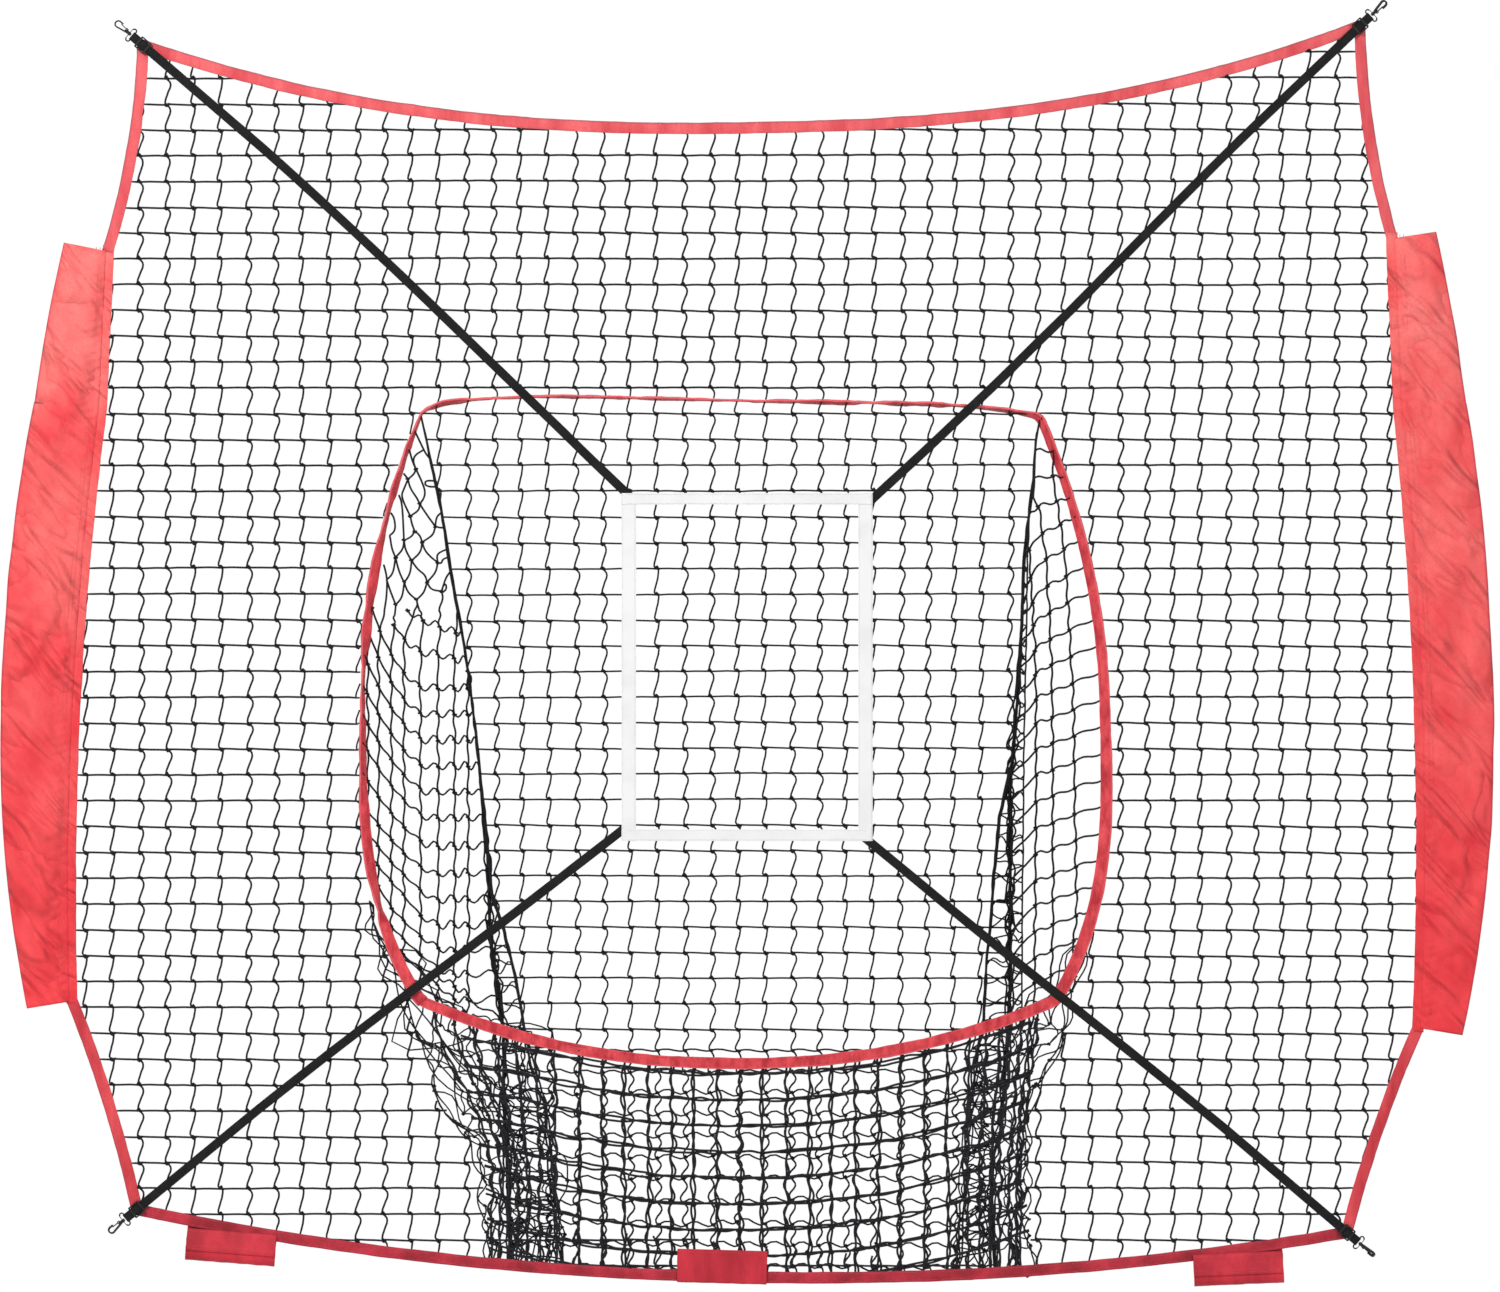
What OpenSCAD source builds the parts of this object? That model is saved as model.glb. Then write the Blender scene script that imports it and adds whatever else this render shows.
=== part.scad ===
// Pitching target net: a knotted practice net with bound hems, two pole sleeves, a ball pocket,
// a strike-zone frame held by four webbing straps, and a swivel snap hook at each corner.
// Front view: X runs to the right, Z up, and Y away from the thrower. The origin is the middle
// of the bottom hem, where the base tube of a stand lies.

/* [Net outline] */
// Width between the two top corners
top_w = 2103; // [1900:1:2300]
// Sideways offset of the top edge
top_mid_x = 2.5; // [-20:0.5:20]
// Height of the top corners
top_z = 2145; // [1900:1:2300]
// How much higher the right top corner hangs
top_tilt = 33; // [-60:1:60]
// Dip of the top edge between its corners
top_sag = 159; // [40:1:220]
// Width between the two bottom corners
bottom_w = 2091; // [1900:1:2300]
// Sideways offset of the bottom edge
bottom_mid_x = -14; // [-30:1:30]
// Height of the bottom corners
bottom_z = 97; // [60:1:160]
// How much higher the right bottom corner hangs
bottom_tilt = -40; // [-60:1:60]
// Dip of the bottom edge between its corners
bottom_sag = 97; // [40:1:140]
// Inward draw of the side edges above the sleeves
upper_draw = 12; // [0:1:40]
// Inward draw of the side edges below the sleeves
lower_draw = 8; // [0:1:40]

/* [Netting] */
// Width of one mesh
mesh_w = 47; // [40:0.5:60]
// Height of one mesh
mesh_h = 44.6; // [40:0.2:60]
// Twine diameter
twine_d = 2.8; // [2:0.1:4]
// Thickness of the netting
net_t = 2.2; // [1.6:0.1:3]
// Only one cord in this many is drawn
mesh_step = 3; // [3:1:4]

/* [Hems] */
// Width of the folded edge binding
hem_w = 20; // [14:1:30]
// Thickness of the folded edge binding
hem_t = 3.8; // [3.4:0.1:6]

/* [Pole sleeves] */
// Width between the seams at the upper ends of the sleeves
sleeve_top_w = 2217; // [2150:1:2300]
// Height of the upper ends of the sleeves
sleeve_top_z = 1788; // [1650:1:1850]
// How much higher the right sleeve starts
sleeve_top_tilt = 22; // [-40:1:40]
// Width between the seams at the lower ends of the sleeves
sleeve_bottom_w = 2326; // [2250:1:2400]
// Height of the lower ends of the sleeves
sleeve_bottom_z = 454; // [380:1:520]
// How much higher the right sleeve ends
sleeve_bottom_tilt = -50; // [-70:1:70]
// Sideways offset of the lower ends
sleeve_bottom_mid_x = -9; // [-20:1:20]
// Half width between the seams at the height of the pocket's top
waist_half_w = 1121; // [1090:1:1140]
// Outward swell of each seam
seam_swell = 20; // [0:1:40]
// Width of a sleeve at its ends, from the seam
sleeve_end_w = 78; // [60:1:100]
// Width of a sleeve at its middle, from the seam
sleeve_mid_w = 129; // [110:1:150]
// Depth of a sleeve, opened for its pole
sleeve_depth = 26; // [20:1:40]
// Thickness of the sleeve cloth
sleeve_wall = 1; // [0.8:0.1:1.6]

/* [Ball pocket] */
// Width of the red rim tape
rim_w = 18; // [14:1:26]
// Thickness of the rim tape
rim_t = 3.8; // [3.4:0.1:6]
// Width of the mouth between its top corners
mouth_top_w = 1058; // [950:1:1150]
// Sideways offset of the mouth's top
mouth_top_mid_x = -35; // [-60:1:60]
// Height of the mouth's top corners
mouth_top_z = 1501; // [1450:1:1550]
// Rise of the mouth's top edge between its corners
mouth_top_rise = 17; // [4:1:30]
// Width of the mouth between its bottom corners
mouth_bottom_w = 1099; // [1000:1:1200]
// Sideways offset of the mouth's bottom
mouth_bottom_mid_x = -21; // [-60:1:60]
// Height of the mouth's bottom corners
mouth_bottom_z = 478; // [430:1:520]
// Outward swell of the mouth's sides
mouth_swell = 102; // [60:1:130]
// Dip of the mouth's lower edge
mouth_sag = 109; // [60:1:140]
// Width of the pocket's back below its taper
pocket_back_w = 914; // [850:1:980]
// Sideways offset of the pocket's back at the bottom
pocket_back_mid_x = 8; // [-30:1:30]
// Deepest reach of the pocket behind the net
pocket_depth = 330; // [250:1:400]

/* [Strike zone] */
// Outside width of the strike-zone frame
zone_w = 434; // [400:1:480]
// Outside height of the strike-zone frame
zone_h = 601; // [550:1:650]
// Sideways offset of the frame
zone_x = -5; // [-30:1:30]
// Height of the frame's centre
zone_z = 1054; // [1000:1:1100]
// Width of the upright strips
upright_w = 25; // [20:1:32]
// Width of the level strips
level_w = 20; // [16:1:28]
// Thickness of a strip
strip_t = 0.8; // [0.6:0.1:1.5]

/* [Straps] */
// Width of the webbing
strap_w = 17; // [15:0.5:18]
// Thickness of the webbing
strap_t = 1.5; // [1.2:0.1:1.6]
// Length of the strap end that is sewn on the net's corner, inward of the slider's middle
tail_l = 34; // [25:1:60]

/* [Hooks and sliders] */
// Length of a slider along its strap
slider_l = 22; // [20:1:26]
// Distance from a slider's middle to the bar of its hook
bar_u = 23; // [22:0.5:30]
// Radius of the wire of the hook base
base_wire_r = 1.2; // [1.1:0.05:1.4]
// Clearance between the base wire and the webbing around it
wire_gap = 0.05; // [0.02:0.01:0.1]
// Radius of the swivel post
post_r = 1.5; // [1.3:0.05:1.7]
// Running clearance around the swivel post and the gate pin
run_gap = 0.06; // [0.02:0.01:0.1]
// Inner radius of the hook's bow
bow_r = 4.3; // [4:0.1:6]
// Width of the hook's arm
arm_w = 2.6; // [2.2:0.1:3.2]
// Thickness of the hook
hook_t = 4; // [3.6:0.1:5]
// Length from the swivel's shoulder to the centre of the bow
hook_l = 22; // [20:0.5:28]
// Thickness of the gate
gate_t = 1.6; // [1.2:0.1:2]
// Radius of the gate pin
gate_pin_r = 0.85; // [0.7:0.05:1]

/* [Base tabs] */
// Length of a tab
tab_l = 155; // [120:1:180]
// Thickness of the tab cloth
tab_t = 1.2; // [1:0.1:1.6]
// Inside radius of the loop that goes round the base tube
tab_r = 9; // [8:0.5:12]
// Drop from the hem's lower edge to the centre of the loop's bottom
tab_drop = 40; // [32:1:50]
// Height of the loop's front edge above the centre of its bottom
tab_lip = 14; // [10:1:18]
// Length of the folded middle tab
middle_tab_h = 58; // [45:1:75]

/* [Hidden] */
$fn = 24;

red = [0.88, 0.22, 0.27];
black = [0.10, 0.10, 0.11];
twine = [0.05, 0.05, 0.06];
white = [0.93, 0.93, 0.93];

// Laid pieces stand this far off what they rest on, where they aren't sewn flat
seat_gap = 0.3;

// ---- Curves in the front view, as [x, z] points ----

function lerp(a, b, t) = a + (b - a) * t;
function bow(t, p) = 1 - pow(abs(2 * t - 1), p);
function dir(a, b) = (b - a) / norm(b - a);
function turned(v) = [-v[1], v[0]];
function reversed(v) = [for (i = [len(v) - 1:-1:0]) v[i]];
function slice(v, a, b) = [for (i = [a:b]) v[i % len(v)]];
// A curve from a to b that stands off its chord by rise, to the left of the way it runs.
// Its last point is left to the next curve.
function span(a, b, rise, p, n) =
    [for (i = [0:n - 1]) lerp(a, b, i / n) + turned(dir(a, b)) * rise * bow(i / n, p)];
// Every point of a closed line moved outward by e, with mitred corners
function offset_loop(v, e) = [
    for (i = [0:len(v) - 1])
        let (
            before = v[(i + len(v) - 1) % len(v)],
            after = v[(i + 1) % len(v)],
            n1 = turned(dir(before, v[i])),
            n2 = turned(dir(v[i], after))
        )
        v[i] + (n1 + n2) * e / (1 + n1 * n2)
];
// The point of an open line, sorted by x, at a given x
function at_x(v, x) =
    let (
        hit = [for (i = [0:len(v) - 2]) if (v[i][0] <= x && x <= v[i + 1][0]) i],
        i = hit[0]
    )
    lerp(v[i], v[i + 1], (x - v[i][0]) / (v[i + 1][0] - v[i][0]));

// side is -1 on the left and 1 on the right
function top_corner(side) = [top_mid_x + side * top_w / 2, top_z + side * top_tilt / 2];
function bottom_corner(side) =
    [bottom_mid_x + side * bottom_w / 2, bottom_z + side * bottom_tilt / 2];
function sleeve_top(side) = [side * sleeve_top_w / 2, sleeve_top_z + side * sleeve_top_tilt / 2];
function sleeve_bottom(side) = [
    sleeve_bottom_mid_x + side * sleeve_bottom_w / 2,
    sleeve_bottom_z + side * sleeve_bottom_tilt / 2
];
function mouth_top(side) = [mouth_top_mid_x + side * mouth_top_w / 2, mouth_top_z];
function mouth_bottom(side) = [mouth_bottom_mid_x + side * mouth_bottom_w / 2, mouth_bottom_z];
function waist(side) = [side * waist_half_w, mouth_top_z];

// The middle line of the hem, clockwise from the left top corner
top_n = 12;
upper_n = 4;
shoulder_n = 2;
seam_n = 8;
lower_n = 4;
bottom_n = 12;
hem_line = concat(
    span(top_corner(-1), top_corner(1), -top_sag, 2.4, top_n),
    span(top_corner(1), sleeve_top(1), -upper_draw, 2, upper_n),
    span(sleeve_top(1), waist(1), 0, 2, shoulder_n),
    span(waist(1), sleeve_bottom(1), seam_swell, 2, seam_n),
    span(sleeve_bottom(1), bottom_corner(1), -lower_draw, 2, lower_n),
    span(bottom_corner(1), bottom_corner(-1), bottom_sag, 2.1, bottom_n),
    span(bottom_corner(-1), sleeve_bottom(-1), -lower_draw, 2, lower_n),
    span(sleeve_bottom(-1), waist(-1), seam_swell, 2, seam_n),
    span(waist(-1), sleeve_top(-1), 0, 2, shoulder_n),
    span(sleeve_top(-1), top_corner(-1), -upper_draw, 2, upper_n)
);
// Where each stretch of that line starts
right_upper_i = top_n;
right_shoulder_i = right_upper_i + upper_n;
right_waist_i = right_shoulder_i + shoulder_n;
right_lower_i = right_waist_i + seam_n;
bottom_i = right_lower_i + lower_n;
left_lower_i = bottom_i + bottom_n;
left_seam_i = left_lower_i + lower_n;
left_waist_i = left_seam_i + seam_n;
left_shoulder_i = left_waist_i + shoulder_n;
hem_points = left_shoulder_i + upper_n;

function hem_edge(e, a, b) = slice(offset_loop(hem_line, e), a, b);
function band(line, inner, outer, a, b) = concat(
    slice(offset_loop(line, outer), a, b),
    reversed(slice(offset_loop(line, inner), a, b))
);

// The side of the mouth at height z swells sideways, fuller towards the bottom
function mouth_x(z, side) =
    let (
        t = (mouth_top_z - z) / (mouth_top_z - mouth_bottom_z),
        p = t < 0.5 ? 2.1 : 3.2
    )
    lerp(mouth_top(side)[0], mouth_bottom(side)[0], t) + side * mouth_swell * bow(t, p);

// The middle line of the rim, clockwise from its left top corner
mouth_top_n = 12;
mouth_side_n = 10;
mouth_bottom_n = 12;
rim_line = concat(
    span(mouth_top(-1), mouth_top(1), mouth_top_rise, 6, mouth_top_n),
    [
        for (i = [0:mouth_side_n - 1])
            let (z = lerp(mouth_top_z, mouth_bottom_z, i / mouth_side_n)) [mouth_x(z, 1), z]
    ],
    span(mouth_bottom(1), mouth_bottom(-1), mouth_sag, 2.2, mouth_bottom_n),
    [
        for (i = [0:mouth_side_n - 1])
            let (z = lerp(mouth_bottom_z, mouth_top_z, i / mouth_side_n)) [mouth_x(z, -1), z]
    ]
);
rim_right_i = mouth_top_n;
rim_bottom_i = rim_right_i + mouth_side_n;
rim_left_i = rim_bottom_i + mouth_bottom_n;
rim_points = rim_left_i + mouth_side_n;

// A front-view shape made into a sheet from y0 to y1
module sheet(y0, y1) {
    translate([0, y1, 0])
        rotate([90, 0, 0])
            linear_extrude(y1 - y0)
                children();
}

// ---- Netting ----

cell_w = mesh_w * mesh_step;
cell_h = mesh_h * mesh_step;
// A knot of the netting that lies next to the bottom hem's middle
knot_x = -20;
knot_z = 20;

// The gaps of the netting, one square each, over a span of columns and rows
module mesh_gaps(x0, x1, z0, z1) {
    for (i = [floor((x0 - knot_x) / cell_w):ceil((x1 - knot_x) / cell_w) - 1])
        for (k = [floor((z0 - knot_z) / cell_h):ceil((z1 - knot_z) / cell_h) - 1])
            translate([knot_x + i * cell_w + twine_d / 2, knot_z + k * cell_h + twine_d / 2])
                square([cell_w - twine_d, cell_h - twine_d]);
}

// A flat panel of netting: its whole outline less the gaps that lie inside its clear field
module net_panel(outline, field) {
    xs = [for (p = field) p[0]];
    zs = [for (p = field) p[1]];
    color(twine)
        sheet(-net_t / 2, net_t / 2)
            difference() {
                polygon(outline);
                intersection() {
                    polygon(field);
                    mesh_gaps(min(xs), max(xs), min(zs), max(zs));
                }
            }
}

// Each outline is made from the hem line moved by hem_e and the rim line moved by rim_e,
// and stands back by cut from the lines along which it meets the next panel
function top_panel(hem_e, rim_e, cut) =
    let (
        rim = slice(offset_loop(rim_line, rim_e), 0, rim_right_i),
        shoulder_l = hem_edge(hem_e, left_waist_i, left_waist_i)[0],
        shoulder_r = hem_edge(hem_e, right_waist_i, right_waist_i)[0]
    )
    concat(
        hem_edge(hem_e, left_waist_i + 1, hem_points + right_waist_i - 1),
        [[shoulder_r[0], mouth_top_z + cut]],
        [[rim[rim_right_i][0], mouth_top_z + cut]],
        [for (p = reversed(rim)) if (p[1] > mouth_top_z + cut + 0.01) p],
        [[rim[0][0], mouth_top_z + cut]],
        [[shoulder_l[0], mouth_top_z + cut]]
    );
function side_panel(side, hem_e, rim_e, cut) =
    let (
        rim = offset_loop(rim_line, rim_e),
        rim_side = side < 0
            ? slice(rim, rim_left_i, rim_points)
            : reversed(slice(rim, rim_right_i, rim_bottom_i)),
        hem_side = side < 0
            ? reversed(hem_edge(hem_e, left_lower_i, left_waist_i))
            : hem_edge(hem_e, right_waist_i, bottom_i),
        floor_line = reversed(hem_edge(hem_e, bottom_i, left_lower_i)),
        split_x = mouth_bottom(side)[0] + side * cut,
        foot = at_x(floor_line, split_x)
    )
    concat(
        [[hem_side[0][0], mouth_top_z - cut]],
        slice(hem_side, 1, len(hem_side) - 1),
        side < 0
            ? [for (p = floor_line) if (p[0] > hem_side[len(hem_side) - 1][0] && p[0] < split_x) p]
            : [for (p = reversed(floor_line))
                if (p[0] < hem_side[len(hem_side) - 1][0] && p[0] > split_x) p],
        [foot],
        [[split_x, rim_side[0][1]]],
        [for (p = rim_side) if (p[1] < mouth_top_z - cut - 0.01
            && side * p[0] > side * split_x + 0.01) p],
        [[rim_side[len(rim_side) - 1][0], mouth_top_z - cut]]
    );
function apron_panel(hem_e, rim_e, cut) =
    let (
        rim = slice(offset_loop(rim_line, rim_e), rim_bottom_i, rim_left_i),
        floor_line = reversed(hem_edge(hem_e, bottom_i, left_lower_i)),
        x0 = mouth_bottom(-1)[0] + cut,
        x1 = mouth_bottom(1)[0] - cut
    )
    concat(
        [[x1, rim[0][1]]],
        [for (p = rim) if (p[0] > x0 + 0.01 && p[0] < x1 - 0.01) p],
        [[x0, rim[len(rim) - 1][1]]],
        [at_x(floor_line, x0)],
        [for (p = floor_line) if (p[0] > x0 && p[0] < x1) p],
        [at_x(floor_line, x1)]
    );

field_hem_e = -hem_w / 2;
field_rim_e = rim_w / 2;
half_twine = twine_d / 2;

module front_net_top() {
    net_panel(top_panel(0, 0, 0), top_panel(field_hem_e, field_rim_e, half_twine));
}
module front_net_left() {
    net_panel(side_panel(-1, 0, 0, 0), side_panel(-1, field_hem_e, field_rim_e, half_twine));
}
module front_net_right() {
    net_panel(side_panel(1, 0, 0, 0), side_panel(1, field_hem_e, field_rim_e, half_twine));
}
module front_net_apron() {
    net_panel(apron_panel(0, 0, 0), apron_panel(field_hem_e, field_rim_e, half_twine));
}

// ---- Hems, folded over the net's edge ----

// A folded tape along part of a closed line. The netting is held in a slot: on the inner side
// of a hem, on the outer side of the rim.
module folded_tape(line, w, t, a, b, slot_side) {
    slot_in = slot_side < 0 ? -w : 0;
    slot_out = slot_side < 0 ? 0 : w;
    difference() {
        sheet(-t / 2, t / 2) polygon(band(line, -w / 2, w / 2, a, b));
        sheet(-net_t / 2, net_t / 2) polygon(band(line, slot_in, slot_out, a, b));
    }
}
module hem(a, b) {
    color(red) folded_tape(hem_line, hem_w, hem_t, a, b, -1);
}
module rim(a, b) {
    color(red) folded_tape(rim_line, rim_w, rim_t, a, b, 1);
}

module top_hem() { hem(0, right_upper_i); }
module right_hem_upper() { hem(right_upper_i, right_shoulder_i); }
module right_sleeve_seam() { hem(right_shoulder_i, right_lower_i); }
module right_hem_lower() { hem(right_lower_i, bottom_i); }
module bottom_hem() { hem(bottom_i, left_lower_i); }
module left_hem_lower() { hem(left_lower_i, left_seam_i); }
module left_sleeve_seam() { hem(left_seam_i, left_shoulder_i); }
module left_hem_upper() { hem(left_shoulder_i, hem_points); }

module rim_top() { rim(0, rim_right_i); }
module rim_right() { rim(rim_right_i, rim_bottom_i); }
module rim_bottom() { rim(rim_bottom_i, rim_left_i); }
module rim_left() { rim(rim_left_i, rim_points); }

// ---- Pole sleeves ----

// The ring of a sleeve's cross-section, as [distance from the seam, y], for a given width
function sleeve_ring(w, inset) =
    let (
        near = hem_w / 2 + (inset > 0 ? 2 * inset : 0),
        far = w - inset,
        edge_y = hem_t / 2 - inset * 0.7,
        full_y = sleeve_depth / 2 - inset
    )
    [
        [near, -edge_y], [lerp(near, far, 0.3), -full_y], [lerp(near, far, 0.7), -full_y],
        [far, -edge_y], [far, edge_y], [lerp(near, far, 0.7), full_y],
        [lerp(near, far, 0.3), full_y], [near, edge_y]
    ];
ring_n = 8;

// A sleeve is an open tube, lofted through one ring at each station of its seam
module sleeve(a, b) {
    stations = b - a;
    seam = [for (i = [a:b]) hem_line[i % hem_points]];
    away = [for (i = [a:b]) offset_loop(hem_line, 1)[i % hem_points] - hem_line[i % hem_points]];
    function width(i) = lerp(sleeve_end_w, sleeve_mid_w, bow(i / stations, 2.5));
    function ring(i, inset) = [
        for (q = sleeve_ring(width(i), inset))
            let (p = seam[i] + away[i] * q[0]) [p[0], q[1], p[1]]
    ];
    points = [for (inset = [0, sleeve_wall]) for (i = [0:stations]) each ring(i, inset)];
    inner = (stations + 1) * ring_n;
    function at(i, k, skin) = skin * inner + i * ring_n + k % ring_n;
    function quad(p, q, r, s) = [[p, q, r], [p, r, s]];
    faces = concat(
        [for (i = [0:stations - 1]) for (k = [0:ring_n - 1])
            each quad(at(i, k, 0), at(i, k + 1, 0), at(i + 1, k + 1, 0), at(i + 1, k, 0))],
        [for (i = [0:stations - 1]) for (k = [0:ring_n - 1])
            each quad(at(i, k, 1), at(i + 1, k, 1), at(i + 1, k + 1, 1), at(i, k + 1, 1))],
        [for (k = [0:ring_n - 1])
            each quad(at(0, k, 0), at(0, k, 1), at(0, k + 1, 1), at(0, k + 1, 0))],
        [for (k = [0:ring_n - 1])
            each quad(at(stations, k, 0), at(stations, k + 1, 0),
                at(stations, k + 1, 1), at(stations, k, 1))]
    );
    color(red) polyhedron(points, faces);
}
module right_sleeve() { sleeve(right_shoulder_i, right_lower_i); }
module left_sleeve() { sleeve(left_seam_i, left_shoulder_i); }

// ---- Ball pocket ----

bottom_line = reversed(hem_edge(0, bottom_i, left_lower_i));
mouth_top_line = slice(rim_line, 0, rim_right_i);

// The side edges of the pocket's back at height z. The back tapers from the rim's corners
// down to its full depth, and runs straight from there.
taper_drop = 30;
taper_end_z = mouth_bottom_z - taper_drop;
function back_x(z, side) =
    let (
        t = max(0, (z - taper_end_z) / (mouth_top_z - taper_end_z)),
        low = pocket_back_mid_x + side * pocket_back_w / 2
    )
    lerp(low, mouth_top(side)[0] - side, pow(min(1, t), 1.6));
// How far the back stands behind the net at height z
belly_t = 0.66;
function back_y(z) =
    let (
        t = max(0, min(1, (mouth_top_z - z) / mouth_top_z)),
        f = t < belly_t
            ? pow(sin(90 * t / belly_t), 1.4)
            : pow(max(0, cos(90 * (t - belly_t) / (1 - belly_t))), 0.7)
    )
    rim_t / 2 + seat_gap + pocket_depth * f;
// Front edge of a side net: on the rim, then gathered in to the foot of the back
gather_z = 0.5 * mouth_bottom_z;
function front_x(z, side) =
    z >= mouth_bottom_z ? mouth_x(z, side)
    : z <= gather_z ? back_x(z, side)
    : lerp(back_x(z, side), mouth_bottom(side)[0],
        pow((z - gather_z) / (mouth_bottom_z - gather_z), 1.5));

// Level cords between the hem and the rim, and the two edges of each cord
pocket_rows = floor((mouth_top_z - knot_z) / cell_h);
row_z = [for (k = [1:pocket_rows - 1]) knot_z + k * cell_h];
function edges(v, half) = [for (a = v) each [a - half, a + half]];
function cord_edges(n, half) = [
    for (i = [0:n]) each [i / n - (i > 0 ? half : 0), i / n + (i < n ? half : 0)]
];

// A net of cords on a curved surface, closed all round: us and vs hold both edges of each
// cord, and there is a gap where an even and an odd pair of edges meet
module net_surface(front, back, nu, nv) {
    function at(i, j, skin) = skin * nu * nv + j * nu + i;
    function is_cord(i, j) = i >= 0 && j >= 0 && i < nu - 1 && j < nv - 1
        && (i % 2 == 0 || j % 2 == 0);
    function quad(p, q, r, s) = [[p, q, r], [p, r, s]];
    faces = [
        for (j = [0:nv - 2]) for (i = [0:nu - 2]) if (is_cord(i, j)) each concat(
            quad(at(i, j, 0), at(i, j + 1, 0), at(i + 1, j + 1, 0), at(i + 1, j, 0)),
            quad(at(i, j, 1), at(i + 1, j, 1), at(i + 1, j + 1, 1), at(i, j + 1, 1)),
            is_cord(i - 1, j) ? []
                : quad(at(i, j, 1), at(i, j + 1, 1), at(i, j + 1, 0), at(i, j, 0)),
            is_cord(i + 1, j) ? []
                : quad(at(i + 1, j, 0), at(i + 1, j + 1, 0),
                    at(i + 1, j + 1, 1), at(i + 1, j, 1)),
            is_cord(i, j - 1) ? []
                : quad(at(i + 1, j, 0), at(i + 1, j, 1), at(i, j, 1), at(i, j, 0)),
            is_cord(i, j + 1) ? []
                : quad(at(i, j + 1, 0), at(i, j + 1, 1),
                    at(i + 1, j + 1, 1), at(i + 1, j + 1, 0))
        )
    ];
    color(twine) polyhedron(concat(front, back), faces);
}

// The back hangs from behind the rim's top and is sewn behind the bottom hem
back_columns = 6;
module pocket_back_net() {
    us = cord_edges(back_columns, half_twine / pocket_back_w);
    foot = [for (e = [-half_twine, half_twine]) for (u = us)
        let (x = lerp(back_x(0, -1), back_x(0, 1), u))
            [x, hem_t / 2 + seat_gap, at_x(bottom_line, x)[1] + e]];
    field = [for (z = edges(row_z, half_twine)) for (u = us)
        [lerp(back_x(z, -1), back_x(z, 1), u), back_y(z), z]];
    head = [for (e = [-half_twine, half_twine]) for (u = us)
        let (x = lerp(back_x(mouth_top_z, -1), back_x(mouth_top_z, 1), u))
            [x, rim_t / 2 + seat_gap, at_x(mouth_top_line, x)[1] + e]];
    front = concat(foot, field, head);
    net_surface(front, [for (p = front) p + [0, net_t, 0]], len(us), len(front) / len(us));
}

// Each side net runs from the rim back to the edge of the pocket's back. Its lowest cord lies
// just above the foot of the back, and its highest just under the rim's corner.
side_columns = 2;
side_foot_lift = 10;
side_head_drop = 60;
module pocket_side_net(side) {
    foot_x = back_x(0, side);
    foot_z = at_x(bottom_line, foot_x)[1];
    low_z = foot_z + side_foot_lift;
    rows = edges(concat([low_z], row_z, [mouth_top_z - side_head_drop]), half_twine);
    // Below the first level cord the back runs straight from its foot
    function edge_y(z) =
        (z < row_z[0] - half_twine
            ? lerp(hem_t / 2 + seat_gap, back_y(row_z[0] - half_twine),
                (z - foot_z - half_twine) / (row_z[0] - foot_z - 2 * half_twine))
            : back_y(z)) - seat_gap;
    // In plan: the front and back edge, the way from one to the other, and the way out
    function front_edge(z) = [front_x(z, side), rim_t / 2];
    function back_edge(z) = [back_x(z, side), edge_y(z)];
    function way(z) = dir(front_edge(z), back_edge(z));
    function out(z) = [side * way(z)[1], -side * way(z)[0]];
    function row(z, inset) =
        let (
            a = front_edge(z) + [0, net_t * abs(way(z)[0])] - out(z) * inset,
            b = back_edge(z) - out(z) * inset,
            us = cord_edges(side_columns, half_twine / norm(b - a))
        )
        [for (u = side < 0 ? us : reversed(us)) let (p = lerp(a, b, u)) [p[0], p[1], z]];
    front = [for (z = rows) each row(z, net_t)];
    back = [for (z = rows) each row(z, 0)];
    net_surface(front, back, 2 * side_columns + 2, len(rows));
}
module pocket_left_net() { pocket_side_net(-1); }
module pocket_right_net() { pocket_side_net(1); }

// ---- Straps ----

// At each corner U runs outward along the strap, V across it, and N towards the thrower.
// The sewn end of the strap lies on the hem, and the wire of the hook's base lies in the bight.
bight_r = base_wire_r + wire_gap;
bar_n = strap_t + bight_r;
main_n = bar_n + bight_r;
strap_front_y = -hem_t / 2 - main_n - strap_t;

function corner(side, up) = up > 0 ? top_corner(side) : bottom_corner(side);
function zone_corner(side, up) = [
    zone_x + side * (zone_w - upright_w) / 2,
    zone_z + up * (zone_h - level_w) / 2
];
function strap_run(side, up) = corner(side, up) - zone_corner(side, up);
// How a strap leaves the straight line from its corner to the strike zone, upwards:
// [at its inner end, bow, wave]
function strap_bend(side, up) = up > 0
    ? (side < 0 ? [4.4, 11.4, 2.4] : [-8.4, -1.9, 4.2])
    : (side < 0 ? [14, 6.1, 2.4] : [-4, 3.2, 2.8]);
function strap_rise(side, up, l) =
    let (s = l / norm(strap_run(side, up)), bend = strap_bend(side, up))
        bend[0] * s + bend[1] * sin(180 * s) + bend[2] * sin(360 * s);
// As far as its slider goes it is straight, and the slider and the hook are in line with that
strap_straight_l = 270;
function strap_slope(side, up) = strap_rise(side, up, strap_straight_l) / strap_straight_l;
function strap_angle(side, up) =
    atan2(strap_run(side, up)[1], strap_run(side, up)[0]) - side * atan(strap_slope(side, up));

// Puts what it is given in U, V, N at a corner, with the hem's face at N = 0
module at_corner(side, up) {
    translate([corner(side, up)[0], -hem_t / 2, corner(side, up)[1]])
        rotate([0, -strap_angle(side, up), 0])
            rotate([90, 0, 0])
                children();
}

bend_n = 12;
// The strap's middle line in U and V, inward of its straight stretch. V points up on the right only.
function strap_line(side, up) = [
    for (i = [0:bend_n])
        let (l = lerp(strap_straight_l, norm(strap_run(side, up)), i / bend_n))
        [-l, side * (strap_rise(side, up, l) - strap_slope(side, up) * l)]
];

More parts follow.
